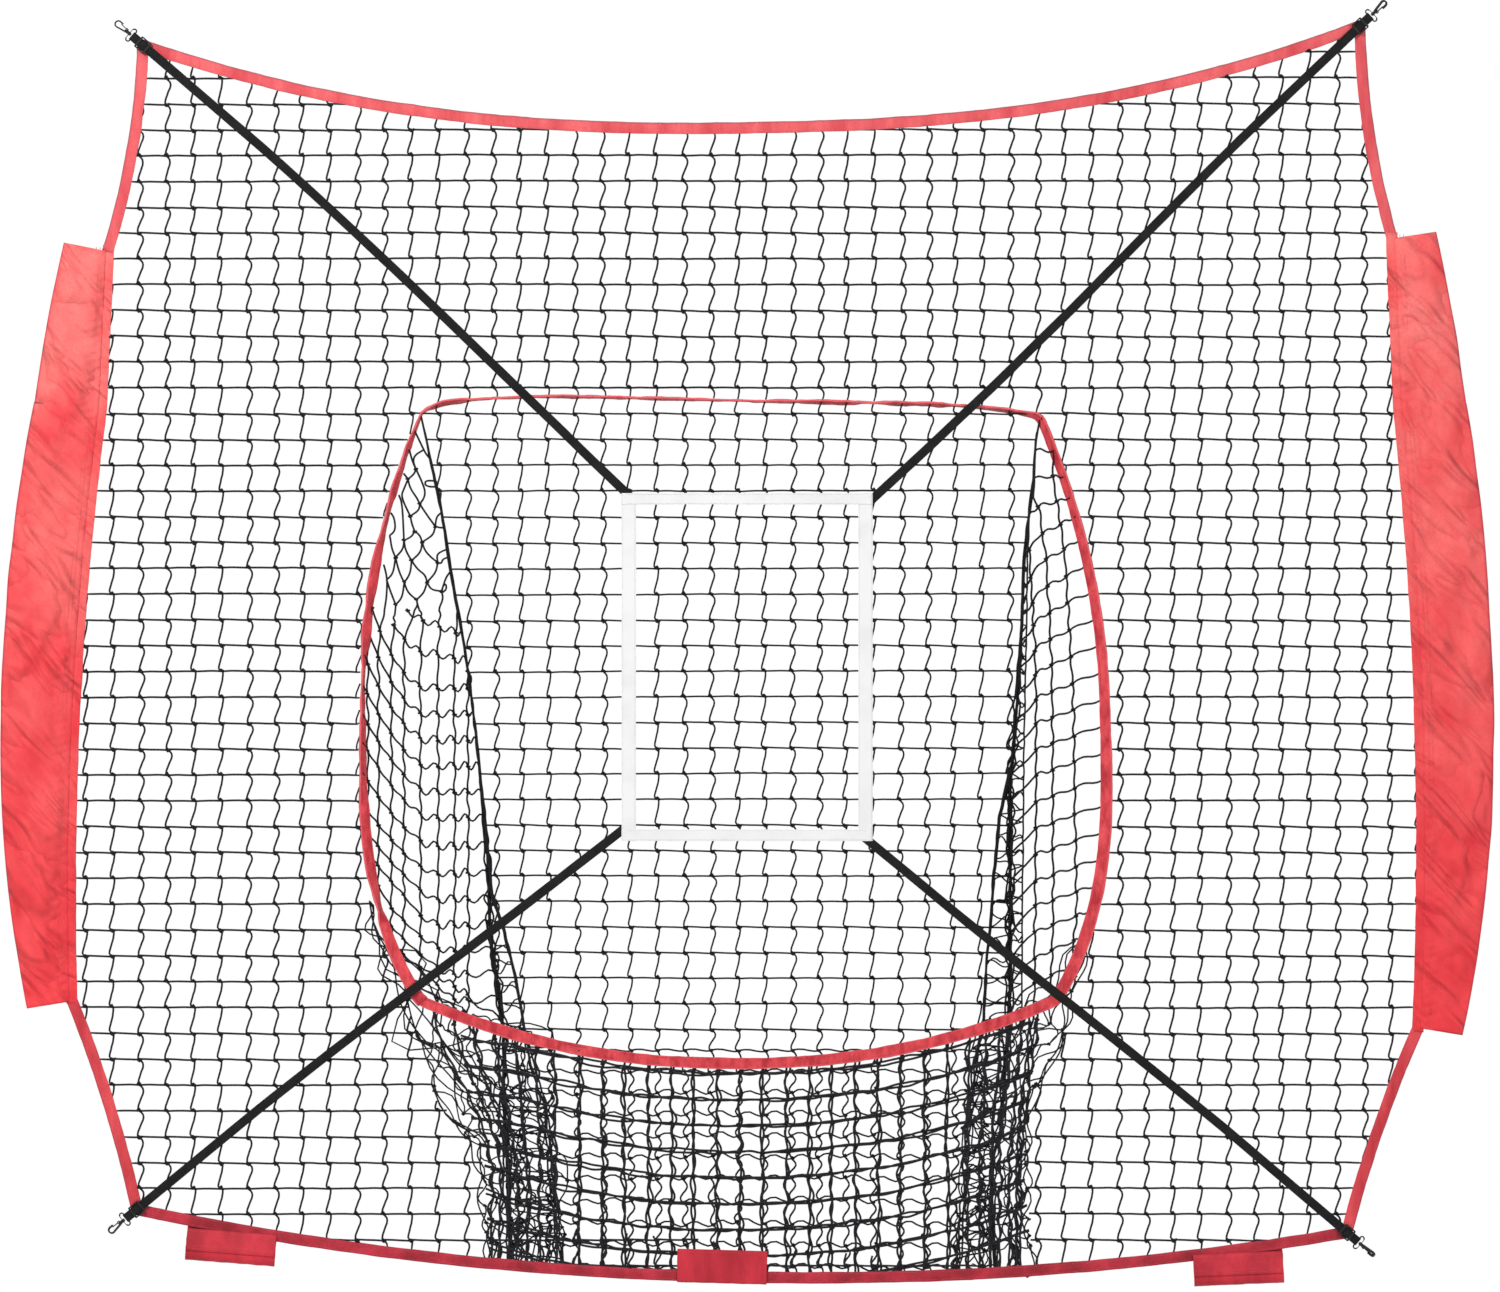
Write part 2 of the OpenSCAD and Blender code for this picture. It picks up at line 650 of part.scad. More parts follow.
module strap(side, up) {
    line = concat([[0, 0]], strap_line(side, up));
    half_w = [0, strap_w / 2];
    color(black)
        at_corner(side, up)
            union() {
                translate([0, 0, main_n])
                    linear_extrude(strap_t)
                        polygon(concat(
                            [for (p = line) p + half_w], reversed([for (p = line) p - half_w])
                        ));
                rotate([90, 0, 0])
                    translate([0, 0, -strap_w / 2])
                        linear_extrude(strap_w)
                            union() {
                                translate([-tail_l, main_n]) square([tail_l + bar_u, strap_t]);
                                translate([-tail_l, 0]) square([tail_l + bar_u, strap_t]);
                                translate([bar_u, bar_n])
                                    difference() {
                                        circle(bight_r + strap_t);
                                        circle(bight_r);
                                        translate([-2 * main_n, -2 * main_n])
                                            square([2 * main_n, 4 * main_n]);
                                    }
                            }
            }
}

// ---- Sliders ----

slider_wall = 2.4;
slider_gap = 0.6;
slider_bar_w = 3.6;
slider_w = strap_w + 2 * (slider_gap + slider_wall);
slider_low_n = strap_t + 0.2;
slider_mid_n = main_n - 0.2;
slider_high_n = main_n + strap_t + 0.2;
slider_face = 1.6;

module rounded_block(l, w, r) {
    square([l - 2 * r, w], center = true);
    square([l, w - 2 * r], center = true);
    for (u = [-1, 1]) for (v = [-1, 1])
        translate([u * (l / 2 - r), v * (w / 2 - r)]) circle(r);
}
module slider(side, up) {
    color(black)
        at_corner(side, up)
            difference() {
                translate([0, 0, slider_low_n])
                    linear_extrude(slider_high_n + slider_face - slider_low_n)
                        rounded_block(slider_l, slider_w, 2.5);
                // The way for the webbing, right through
                translate([-slider_l, -strap_w / 2 - slider_gap, slider_mid_n])
                    cube([2 * slider_l, strap_w + 2 * slider_gap,
                        slider_high_n - slider_mid_n]);
                // The two windows beside the middle bar, and the space under the end bars
                for (u = [-1, 1])
                    translate([
                        u > 0 ? slider_bar_w / 2 : -slider_l,
                        -strap_w / 2 - slider_gap,
                        slider_low_n - 1
                    ])
                        cube([
                            slider_l - slider_bar_w / 2,
                            strap_w + 2 * slider_gap,
                            slider_mid_n - slider_low_n + 2
                        ]);
                // The opening in the face between the end bars
                translate([
                    -slider_l / 2 + slider_bar_w,
                    -strap_w / 2 - slider_gap,
                    slider_high_n - 1
                ])
                    cube([slider_l - 2 * slider_bar_w, strap_w + 2 * slider_gap,
                        slider_face + 2]);
            }
}

// ---- Hooks ----

base_end_r = 3.6;
base_half_l = strap_w / 2 + 0.3;
base_outer_u = bar_u + 2 * base_end_r;
collar_r = 3;
collar_l = 4.8;
collar_u = base_outer_u - base_wire_r - 0.4;
head_r = 2.4;
head_l = 1.2;
end_play = 0.3;
shoulder_u = collar_u + collar_l + end_play;
neck_l = 2.5;
bow_u = shoulder_u + hook_l;

// A slot-shaped outline between the two bars of the base, grown by r
module base_outline(r) {
    translate([bar_u, -base_half_l]) square([2 * base_end_r, 2 * base_half_l]);
    for (v = [-1, 1])
        translate([bar_u + base_end_r, v * base_half_l]) circle(base_end_r + r);
    translate([bar_u - r, -base_half_l])
        square([2 * (base_end_r + r), 2 * base_half_l]);
}
module hook_base(side, up) {
    color(black)
        at_corner(side, up)
            translate([0, 0, bar_n])
                difference() {
                    union() {
                        translate([0, 0, -base_wire_r])
                            linear_extrude(2 * base_wire_r)
                                difference() {
                                    base_outline(base_wire_r);
                                    base_outline(-base_wire_r);
                                    translate([bar_u - 2 * base_wire_r, -strap_w / 2 - 0.2])
                                        square([3 * base_wire_r, strap_w + 0.4]);
                                }
                        translate([bar_u, base_half_l + 1, 0])
                            rotate([90, 0, 0])
                                cylinder(r = base_wire_r, h = 2 * base_half_l + 2);
                        translate([collar_u, 0, 0])
                            rotate([0, 90, 0])
                                cylinder(r = collar_r, h = collar_l);
                    }
                    translate([collar_u - 1, 0, 0])
                        rotate([0, 90, 0])
                            cylinder(r = post_r + run_gap, h = collar_l + 2);
                }
}

// How far each hook is turned on its swivel at rest
function hook_turn(side, up) = up > 0 ? (side < 0 ? 0 : 35) : (side < 0 ? 20 : 62);
cheek_r = 1.9;
pivot_u = shoulder_u + neck_l + cheek_r + 0.3;
pivot_v = -2.7;
slot_t = gate_t + 0.2;
nose_l = 6.5;

// Puts what it is given on the swivel's axis, turned with the hook
module on_swivel(side, up) {
    at_corner(side, up)
        translate([0, 0, bar_n])
            rotate([hook_turn(side, up), 0, 0])
                children();
}

module hook(side, up) {
    arm_out = bow_r + arm_w;
    block_u = shoulder_u + neck_l - 0.5;
    color(black)
        on_swivel(side, up) {
            // Swivel post with its head inside the base, and the neck outside
            translate([collar_u - end_play - head_l, 0, 0])
                rotate([0, 90, 0])
                    union() {
                        cylinder(r = head_r, h = head_l);
                        cylinder(r = post_r, h = shoulder_u - collar_u + end_play + head_l + 1);
                        translate([0, 0, shoulder_u - collar_u + end_play + head_l])
                            cylinder(r = collar_r, h = neck_l);
                    }
            difference() {
                translate([0, 0, -hook_t / 2])
                    linear_extrude(hook_t)
                        union() {
                            // Block at the neck, arm, bow and nose
                            polygon([
                                [block_u, -4.8], [pivot_u + 2.2, -4.8], [pivot_u + 2.2, 1],
                                [pivot_u + 3, 1.2], [bow_u, bow_r], [bow_u, arm_out],
                                [pivot_u, 3.6], [block_u, 3]
                            ]);
                            translate([bow_u, 0])
                                difference() {
                                    circle(arm_out);
                                    circle(bow_r);
                                    translate([-2 * arm_out, -arm_out - 1])
                                        square([2 * arm_out, 2 * arm_out + 2]);
                                }
                            translate([bow_u - nose_l, -arm_out]) square([nose_l, arm_w]);
                        }
                // Slot for the gate, and the bore for its pin
                translate([pivot_u - cheek_r - 0.3, -6, -slot_t / 2])
                    cube([cheek_r + 3, 6.6, slot_t]);
                translate([pivot_u, pivot_v, -hook_t])
                    cylinder(r = gate_pin_r, h = 2 * hook_t);
            }
        }
}

module gate_pin(side, up) {
    color(black)
        on_swivel(side, up)
            translate([pivot_u, pivot_v, -hook_t / 2])
                cylinder(r = gate_pin_r, h = hook_t, $fn = 32);
}

// The gate closes against the inside of the hook's nose, short of the round of the bow
gate_back = 3.9;
gate_tip = [bow_u - gate_back, -bow_r + 0.15];
gate_w = 1.6;
module gate(side, up) {
    color(black)
        on_swivel(side, up)
            translate([0, 0, -gate_t / 2])
                difference() {
                    linear_extrude(gate_t)
                        union() {
                            translate([pivot_u, pivot_v]) circle(cheek_r - 0.1);
                            polygon([
                                [pivot_u, pivot_v - gate_w / 2],
                                gate_tip,
                                gate_tip + [0, gate_w],
                                [pivot_u, pivot_v + gate_w / 2]
                            ]);
                        }
                    translate([pivot_u, pivot_v, -1])
                        cylinder(r = gate_pin_r + run_gap, h = gate_t + 2);
                }
}

module strap_top_left() { strap(-1, 1); }
module strap_top_right() { strap(1, 1); }
module strap_bottom_left() { strap(-1, -1); }
module strap_bottom_right() { strap(1, -1); }
module slider_top_left() { slider(-1, 1); }
module slider_top_right() { slider(1, 1); }
module slider_bottom_left() { slider(-1, -1); }
module slider_bottom_right() { slider(1, -1); }
module hook_base_top_left() { hook_base(-1, 1); }
module hook_base_top_right() { hook_base(1, 1); }
module hook_base_bottom_left() { hook_base(-1, -1); }
module hook_base_bottom_right() { hook_base(1, -1); }
module hook_top_left() { hook(-1, 1); }
module hook_top_right() { hook(1, 1); }
module hook_bottom_left() { hook(-1, -1); }
module hook_bottom_right() { hook(1, -1); }
module gate_top_left() { gate(-1, 1); }
module gate_top_right() { gate(1, 1); }
module gate_bottom_left() { gate(-1, -1); }
module gate_bottom_right() { gate(1, -1); }
module gate_pin_top_left() { gate_pin(-1, 1); }
module gate_pin_top_right() { gate_pin(1, 1); }
module gate_pin_bottom_left() { gate_pin(-1, -1); }
module gate_pin_bottom_right() { gate_pin(1, -1); }

// ---- Strike zone ----

// The uprights lie on the straps' ends, and the level strips lie on the uprights
module zone_strip(x, z, w, h, layer) {
    color(white)
        translate([x - w / 2, strap_front_y - (layer + 1) * strip_t, z - h / 2])
            cube([w, strip_t, h]);
}
zone_side_x = (zone_w - upright_w) / 2;
zone_level_z = (zone_h - level_w) / 2;
module zone_strip_left() { zone_strip(zone_x - zone_side_x, zone_z, upright_w, zone_h, 0); }
module zone_strip_right() { zone_strip(zone_x + zone_side_x, zone_z, upright_w, zone_h, 0); }
module zone_strip_top() { zone_strip(zone_x, zone_z + zone_level_z, zone_w, level_w, 1); }
module zone_strip_bottom() { zone_strip(zone_x, zone_z - zone_level_z, zone_w, level_w, 1); }

// ---- Base tabs ----

left_tab_x = -895;
right_tab_x = 843;
middle_tab_x = -49;
left_tab_tilt = -4.5;
right_tab_tilt = 2.5;
middle_tab_tilt = -1.6;
hem_lower_edge = reversed(hem_edge(hem_w / 2, bottom_i, left_lower_i));

// Puts what it is given at the hem's lower edge, with X along the tab
module at_tab(x, tilt) {
    translate([x, 0, at_x(hem_lower_edge, x)[1]])
        rotate([0, -tilt, 0])
            children();
}
// Extrudes a profile drawn in [y, z] along the tab
module along_tab(l) {
    translate([-l / 2, 0, 0])
        rotate([90, 0, 90])
            linear_extrude(l)
                children();
}

tab_back_y = hem_t / 2;
loop_y = tab_back_y - tab_r;
tab_sewn_h = 9;
module tab_loop(x, tilt) {
    color(red)
        at_tab(x, tilt)
            along_tab(tab_l)
                union() {
                    translate([tab_back_y, -tab_drop])
                        square([tab_t, tab_drop + tab_sewn_h]);
                    translate([loop_y, -tab_drop])
                        difference() {
                            circle(tab_r + tab_t);
                            circle(tab_r);
                            translate([-2 * tab_r, 0]) square(4 * tab_r);
                        }
                    translate([loop_y - tab_r - tab_t, -tab_drop])
                        square([tab_t, tab_lip]);
                }
}

// The flap turns on a soft hinge in front of the hem and closes over the loop's front edge
flap_hinge_y = -hem_t / 2 - seat_gap - tab_t / 2;
flap_hinge_z = 4;
flap_front_y = loop_y - tab_r - tab_t - seat_gap;
flap_rise = 1;
flap_overlap = 7.5;
flap_bend_z = -tab_drop + tab_lip + flap_rise;
flap_end_z = -tab_drop + tab_lip - flap_overlap;
module tab_flap(x, tilt) {
    color(red)
        at_tab(x, tilt)
            along_tab(tab_l)
                union() {
                    translate([flap_hinge_y, flap_hinge_z]) circle(tab_t / 2);
                    polygon([
                        [flap_hinge_y + tab_t / 2, flap_hinge_z],
                        [flap_hinge_y - tab_t / 2, flap_hinge_z],
                        [flap_front_y - tab_t, flap_bend_z],
                        [flap_front_y - tab_t, flap_end_z],
                        [flap_front_y, flap_end_z],
                        [flap_front_y, flap_bend_z - 0.3]
                    ]);
                }
}
module tab_left() { tab_loop(left_tab_x, left_tab_tilt); }
module tab_left_flap() { tab_flap(left_tab_x, left_tab_tilt); }
module tab_right() { tab_loop(right_tab_x, right_tab_tilt); }
module tab_right_flap() { tab_flap(right_tab_x, right_tab_tilt); }

// The middle tab is closed flat and folded up in front of the net. Its two layers are joined
// along the hinge, and the slot between them is open at the top.
middle_hinge_y = -hem_t / 2 - 1;
middle_hinge_z = -1.5;
middle_seat_y = -hem_t / 2 - seat_gap;
middle_slot = 1.4;
middle_fold = 3;
module tab_middle() {
    depth = 2 * tab_t + middle_slot;
    color(red)
        at_tab(middle_tab_x, middle_tab_tilt)
            along_tab(tab_l)
                difference() {
                    union() {
                        translate([middle_hinge_y, middle_hinge_z]) circle(tab_t / 2);
                        translate([middle_seat_y - depth, middle_hinge_z])
                            square([depth, middle_tab_h]);
                    }
                    translate([middle_seat_y - tab_t - middle_slot, middle_hinge_z + middle_fold])
                        square([middle_slot, middle_tab_h]);
                }
}

front_net_top();
front_net_left();
front_net_right();
front_net_apron();
pocket_back_net();
pocket_left_net();
pocket_right_net();
rim_top();
rim_left();
rim_right();
rim_bottom();
top_hem();
left_hem_upper();
left_hem_lower();
right_hem_upper();
right_hem_lower();
bottom_hem();
left_sleeve_seam();
right_sleeve_seam();
left_sleeve();
right_sleeve();
zone_strip_top();
zone_strip_bottom();
zone_strip_left();
zone_strip_right();
strap_top_left();
strap_top_right();
strap_bottom_left();
strap_bottom_right();
slider_top_left();
slider_top_right();
slider_bottom_left();
slider_bottom_right();
hook_base_top_left();
hook_base_top_right();
hook_base_bottom_left();
hook_base_bottom_right();
hook_top_left();
hook_top_right();
hook_bottom_left();
hook_bottom_right();
gate_top_left();
gate_top_right();
gate_bottom_left();
gate_bottom_right();
gate_pin_top_left();
gate_pin_top_right();
gate_pin_bottom_left();
gate_pin_bottom_right();
tab_left();
tab_left_flap();
tab_right();
tab_right_flap();
tab_middle();
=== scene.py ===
"""The looks of a pitching target net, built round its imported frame.

Lengths are in millimetres until a mesh is made. A front view is [x, z], and Y runs away from
the thrower.
"""

import math

import bpy
import numpy as np
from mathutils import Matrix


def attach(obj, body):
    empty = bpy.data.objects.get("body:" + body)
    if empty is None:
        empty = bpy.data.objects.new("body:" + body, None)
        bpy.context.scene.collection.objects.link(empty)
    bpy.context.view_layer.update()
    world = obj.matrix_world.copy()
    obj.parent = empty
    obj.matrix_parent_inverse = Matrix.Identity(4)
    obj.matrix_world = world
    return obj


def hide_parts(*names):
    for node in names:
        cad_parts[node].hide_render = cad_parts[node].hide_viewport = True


MM = 0.001
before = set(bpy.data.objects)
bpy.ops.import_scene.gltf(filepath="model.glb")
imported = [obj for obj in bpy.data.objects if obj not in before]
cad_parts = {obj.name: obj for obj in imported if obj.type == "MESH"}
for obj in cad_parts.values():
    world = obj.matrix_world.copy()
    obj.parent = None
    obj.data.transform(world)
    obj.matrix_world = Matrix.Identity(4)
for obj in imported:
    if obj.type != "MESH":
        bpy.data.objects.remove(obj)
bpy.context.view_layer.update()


# ---- Camera ----

VIEW_WIDTH = 2592.0
VIEW_CENTRE_Z = 1090.4
CAMERA_DISTANCE = 30.0
SENSOR = 36.0

camera_data = bpy.data.cameras.new("camera")
camera_data.sensor_width = SENSOR
camera_data.lens = SENSOR * CAMERA_DISTANCE / (VIEW_WIDTH * MM)
camera_data.clip_end = 100.0
camera = bpy.data.objects.new("camera", camera_data)
camera.location = (0.0, -CAMERA_DISTANCE, VIEW_CENTRE_Z * MM)
camera.rotation_euler = (math.radians(90.0), 0.0, 0.0)
bpy.context.scene.collection.objects.link(camera)
bpy.context.scene.camera = camera


# ---- Curves of the frame, as in the part's source ----


def lerp(a, b, t):
    return a + (b - a) * t


def smooth(t):
    t = np.clip(t, 0, 1)
    return t * t * (3 - 2 * t)


def bow(t, power):
    return 1 - np.abs(2 * t - 1) ** power


def span(a, b, rise, power, count=61):
    """Points from a to b on a curve that stands off its chord, to the left of the way it runs."""
    a, b = np.array(a, float), np.array(b, float)
    t = np.linspace(0, 1, count)[:, None]
    way = (b - a) / np.linalg.norm(b - a)
    return lerp(a, b, t) + np.array([-way[1], way[0]]) * rise * bow(t, power)


def joined(*curves):
    """Curves laid end to end, each shared point kept once."""
    return np.concatenate([c if k == 0 else c[1:] for k, c in enumerate(curves)])


def even(curve, step):
    """The same curve with points about step apart."""
    curve = np.asarray(curve, float)
    length = np.concatenate([[0], np.cumsum(np.linalg.norm(np.diff(curve, axis=0), axis=1))])
    s = np.linspace(0, length[-1], max(3, int(round(length[-1] / step)) + 1))
    return np.stack([np.interp(s, length, curve[:, k]) for k in range(curve.shape[1])], 1)


def top_corner(side):
    return np.array([2.5 + side * 1051.5, 2145 + side * 16.5])


def bottom_corner(side):
    return np.array([-14 + side * 1045.5, 97 - side * 20])


def sleeve_top(side):
    return np.array([side * 1108.5, 1788 + side * 11])


def sleeve_bottom(side):
    return np.array([-9 + side * 1163, 454 - side * 25])


MOUTH_TOP_Z = 1501.0
MOUTH_BOTTOM_Z = 478.0
MOUTH_BOTTOM_X = -21


def waist(side):
    return np.array([side * 1121.0, MOUTH_TOP_Z])


def mouth_top(side):
    return np.array([-35 + side * 529, MOUTH_TOP_Z])


def mouth_bottom(side):
    return np.array([MOUTH_BOTTOM_X + side * 549.5, MOUTH_BOTTOM_Z])


def mouth_x(z, side):
    """The middle of the rim's side at height z."""
    z = np.asarray(z, float)
    t = np.clip((MOUTH_TOP_Z - z) / (MOUTH_TOP_Z - MOUTH_BOTTOM_Z), 0, 1)
    power = np.where(t < 0.5, 2.1, 3.2)
    return lerp(mouth_top(side)[0], mouth_bottom(side)[0], t) + side * 102 * bow(t, power)


def mouth_side(side):
    z = np.linspace(MOUTH_TOP_Z - (4 if side < 0 else 14), MOUTH_BOTTOM_Z, 81)
    return np.stack([mouth_x(z, side), z], 1)


def mouth_roof():
    """The rim's top. The gathered net lifts it at the left and lets it down at the right."""
    x = np.linspace(mouth_side(-1)[0, 0], mouth_side(1)[0, 0], 121)
    lift = np.interp(x, [-564, -530, -330, 0, 330, 460, 494], [-4, 4, 4.3, -4, -9, -12, -14])
    return np.stack([x, MOUTH_TOP_Z + 17 * bow(np.linspace(0, 1, 121), 6) + lift], 1)


POCKET_DEPTH = 330.0
NET_BACK_Y = 2.2
GATHER_TOP = 720


def back_y(z):
    """How far the pocket's back stands behind the net at height z."""
    t = np.clip((MOUTH_TOP_Z - np.asarray(z, float)) / MOUTH_TOP_Z, 0, 1)
    rise = np.sin(np.minimum(t / 0.66, 1) * math.pi / 2) ** 1.4
    fall = np.clip(np.cos((t - 0.66) / 0.34 * math.pi / 2), 0, 1) ** 0.7
    return NET_BACK_Y + POCKET_DEPTH * np.where(t < 0.66, rise, fall)


HEM = {
    "top_hem": span(top_corner(-1), top_corner(1), -159, 2.4, 161),
    "right_hem_upper": span(top_corner(1), sleeve_top(1), -12, 2),
    "right_sleeve_seam": joined(
        span(sleeve_top(1), waist(1), 0, 2, 21), span(waist(1), sleeve_bottom(1), 20, 2)
    ),
    "right_hem_lower": span(sleeve_bottom(1), bottom_corner(1), -8, 2),
    "bottom_hem": span(bottom_corner(1), bottom_corner(-1), 97, 2.1, 161),
    "left_hem_lower": span(bottom_corner(-1), sleeve_bottom(-1), -8, 2),
    "left_sleeve_seam": joined(
        span(sleeve_bottom(-1), waist(-1), 20, 2), span(waist(-1), sleeve_top(-1), 0, 2, 21)
    ),
    "left_hem_upper": span(sleeve_top(-1), top_corner(-1), -12, 2),
}
SHARP_RIM = {
    "rim_top": mouth_roof(),
    "rim_right": mouth_side(1),
    "rim_bottom": span(mouth_bottom(1), mouth_bottom(-1), 109, 2.2, 121),
    "rim_left": mouth_side(-1)[::-1],
}


def rounded_rim():
    """The rim's four stretches, with their corners rounded off."""
    loop = even(joined(*SHARP_RIM.values()), 2.0)[:-1]
    soft = sum(np.roll(loop, k, axis=0) for k in range(-5, 6)) / 11
    cuts = [
        int(np.argmin(np.linalg.norm(loop - line[0], axis=1))) for line in SHARP_RIM.values()
    ]
    cuts.append(cuts[0] + len(loop))
    return {
        name: soft[np.arange(a, b + 1) % len(loop)]
        for name, a, b in zip(SHARP_RIM, cuts, cuts[1:])
    }


RIM = rounded_rim()
HEM_LOOP = joined(*HEM.values())
RIM_LOOP = joined(*RIM.values())


GAP_SEEN = 40.0


def gap_to(loop, points):
    """How far front-view points are from a line, up to GAP_SEEN."""
    cells = {}
    for place in even(loop, 3.0):
        cells.setdefault(tuple(np.floor(place / GAP_SEEN).astype(int)), []).append(place)
    gap = np.full(len(points), GAP_SEEN)
    home = np.floor(points / GAP_SEEN).astype(int)
    for cell in {tuple(c) for c in home}:
        near = [
            place for dx in (-1, 0, 1) for dz in (-1, 0, 1)
            for place in cells.get((cell[0] + dx, cell[1] + dz), ())
        ]
        if near:
            here = np.flatnonzero((home == cell).all(1))
            away = np.linalg.norm(points[here, None] - np.array(near), axis=-1)
            gap[here] = np.minimum(gap[here], away.min(1))
    return gap


def z_on(curve, x):
    """Height of a level curve at x."""
    order = np.argsort(curve[:, 0])
    return np.interp(x, curve[order, 0], curve[order, 1])


def on_line(points, z):
    """x at height z on a line given from its top down."""
    points = np.array(points, float)
    return np.interp(-np.asarray(z, float), -points[:, 1], points[:, 0])


# ---- Lines of the pocket's net, read off the photo ----

PHOTO_STEP = 1.728
PHOTO_CENTRE = 750
PHOTO_FLOOR = 1277


def read_x(*columns):
    """x of pixel columns of the photo."""
    return [round((column - PHOTO_CENTRE) * PHOTO_STEP) for column in columns]


def read_z(*rows):
    """z of pixel rows of the photo."""
    return [round((PHOTO_FLOOR - row) * PHOTO_STEP) for row in rows]


def read(*pixels):
    """Front-view points of pixels of the photo, as (column, row)."""
    return [(*read_x(column), *read_z(row)) for column, row in pixels]


# Where the gathered net under the mouth ends, from the rim's sides down to the hem
BUNCH_LEFT = [
    *read((369, 900), (381, 940), (404, 985), (411, 1015)),
    (-571, 410), (-551, 351), (-541, 304), (-520, 285), (-501, 261), (-472, 232), (-463, 217),
    (-460, 150), (-456, 98), *read((488, 1270)),
]
BUNCH_RIGHT = [
    *read((1089, 906)), (572, 560), (556, 496), (550, 442), (532, 409), (511, 361), (494, 337),
    (480, 313), (477, 221), (477, 169), (481, 120), (483, 78), (491, 12),
]
# Where the pocket's back turns into its sides
FOLD_LEFT = [
    (-569, 1490), (-559, 1445), (-549, 1393), (-540, 1356), (-531, 1304), (-521, 1236),
    (-511, 1173), (-503, 1131), (-489, 1037), (-478, 943), (-468, 838), (-459, 740),
    *read((488, 940), (490, 960), (497, 1000), (501, 1040)),
    (-430, 306), (-424, 219), (-420, 133), (-411, -20),
]
FOLD_RIGHT = [
    (501, 1482), (494, 1445), (490, 1377), (484, 1325), (479, 1288), (475, 1236), (472, 1131),
    (467, 1026), (462, 959), (457, 890), (453, 848), *read((1013.5, 815)), (454, 491), (449, 413),
    (447, 361), (442, 313), (437, 245), (424, 202), (420, 145), (425, -20),
]
# The inner edge of the gathers, where the side net's last cords leave the fold
FAR_LEFT = [
    (-460, 760), *read((489, 897), (502, 935), (513, 980)), (-397, 440), (-389, 392),
    (-372, 330), (-358, 292), (-349, 206), (-340, 124), (-323, 10),
]
FAR_RIGHT = [
    *read((1013, 770), (1002, 819), (996, 884)), (420, 600), (414, 553), (408, 440), (392, 361),
    (384, 289), (377, 216), (375, 145), (365, 83), (359, 10),
]


def fold_x(z, side):
    return on_line(FOLD_LEFT if side < 0 else FOLD_RIGHT, z)


def outline_x(z, side):
    """The front edge of the pocket's side: on the rim, then down the edge of the gathers."""
    z = np.asarray(z, float)
    points = BUNCH_LEFT if side < 0 else BUNCH_RIGHT
    return np.where(z > points[0][1], mouth_x(z, side), on_line(points, z))


# ---- Noise, strands and meshes ----


def noise(u, v, seed):
    """Smooth noise from -1 to 1, one bump to a unit."""
    table = np.random.default_rng(seed).uniform(-1, 1, (64, 64))
    u, v = np.broadcast_arrays(np.asarray(u, float), np.asarray(v, float))
    i, j = np.floor(u).astype(int), np.floor(v).astype(int)
    f, g = u - i, v - j
    f, g = f * f * (3 - 2 * f), g * g * (3 - 2 * g)
    low = lerp(table[i % 64, j % 64], table[(i + 1) % 64, j % 64], f)
    high = lerp(table[i % 64, (j + 1) % 64], table[(i + 1) % 64, (j + 1) % 64], f)
    return lerp(low, high, g)


def unit(v):
    return v / np.maximum(np.linalg.norm(v, axis=-1, keepdims=True), 1e-9)


def sideways(line):
    """The way that a line in a plane runs at each point, and the way to its left."""
    way = unit(np.gradient(line, axis=0))
    return way, np.stack([-way[:, 1], way[:, 0]], 1)


def picked(line, places):
    """Points of a line at places that count its own points from 0."""
    return np.stack([np.interp(places, np.arange(len(line)), line[:, k]) for k in (0, 1)], 1)


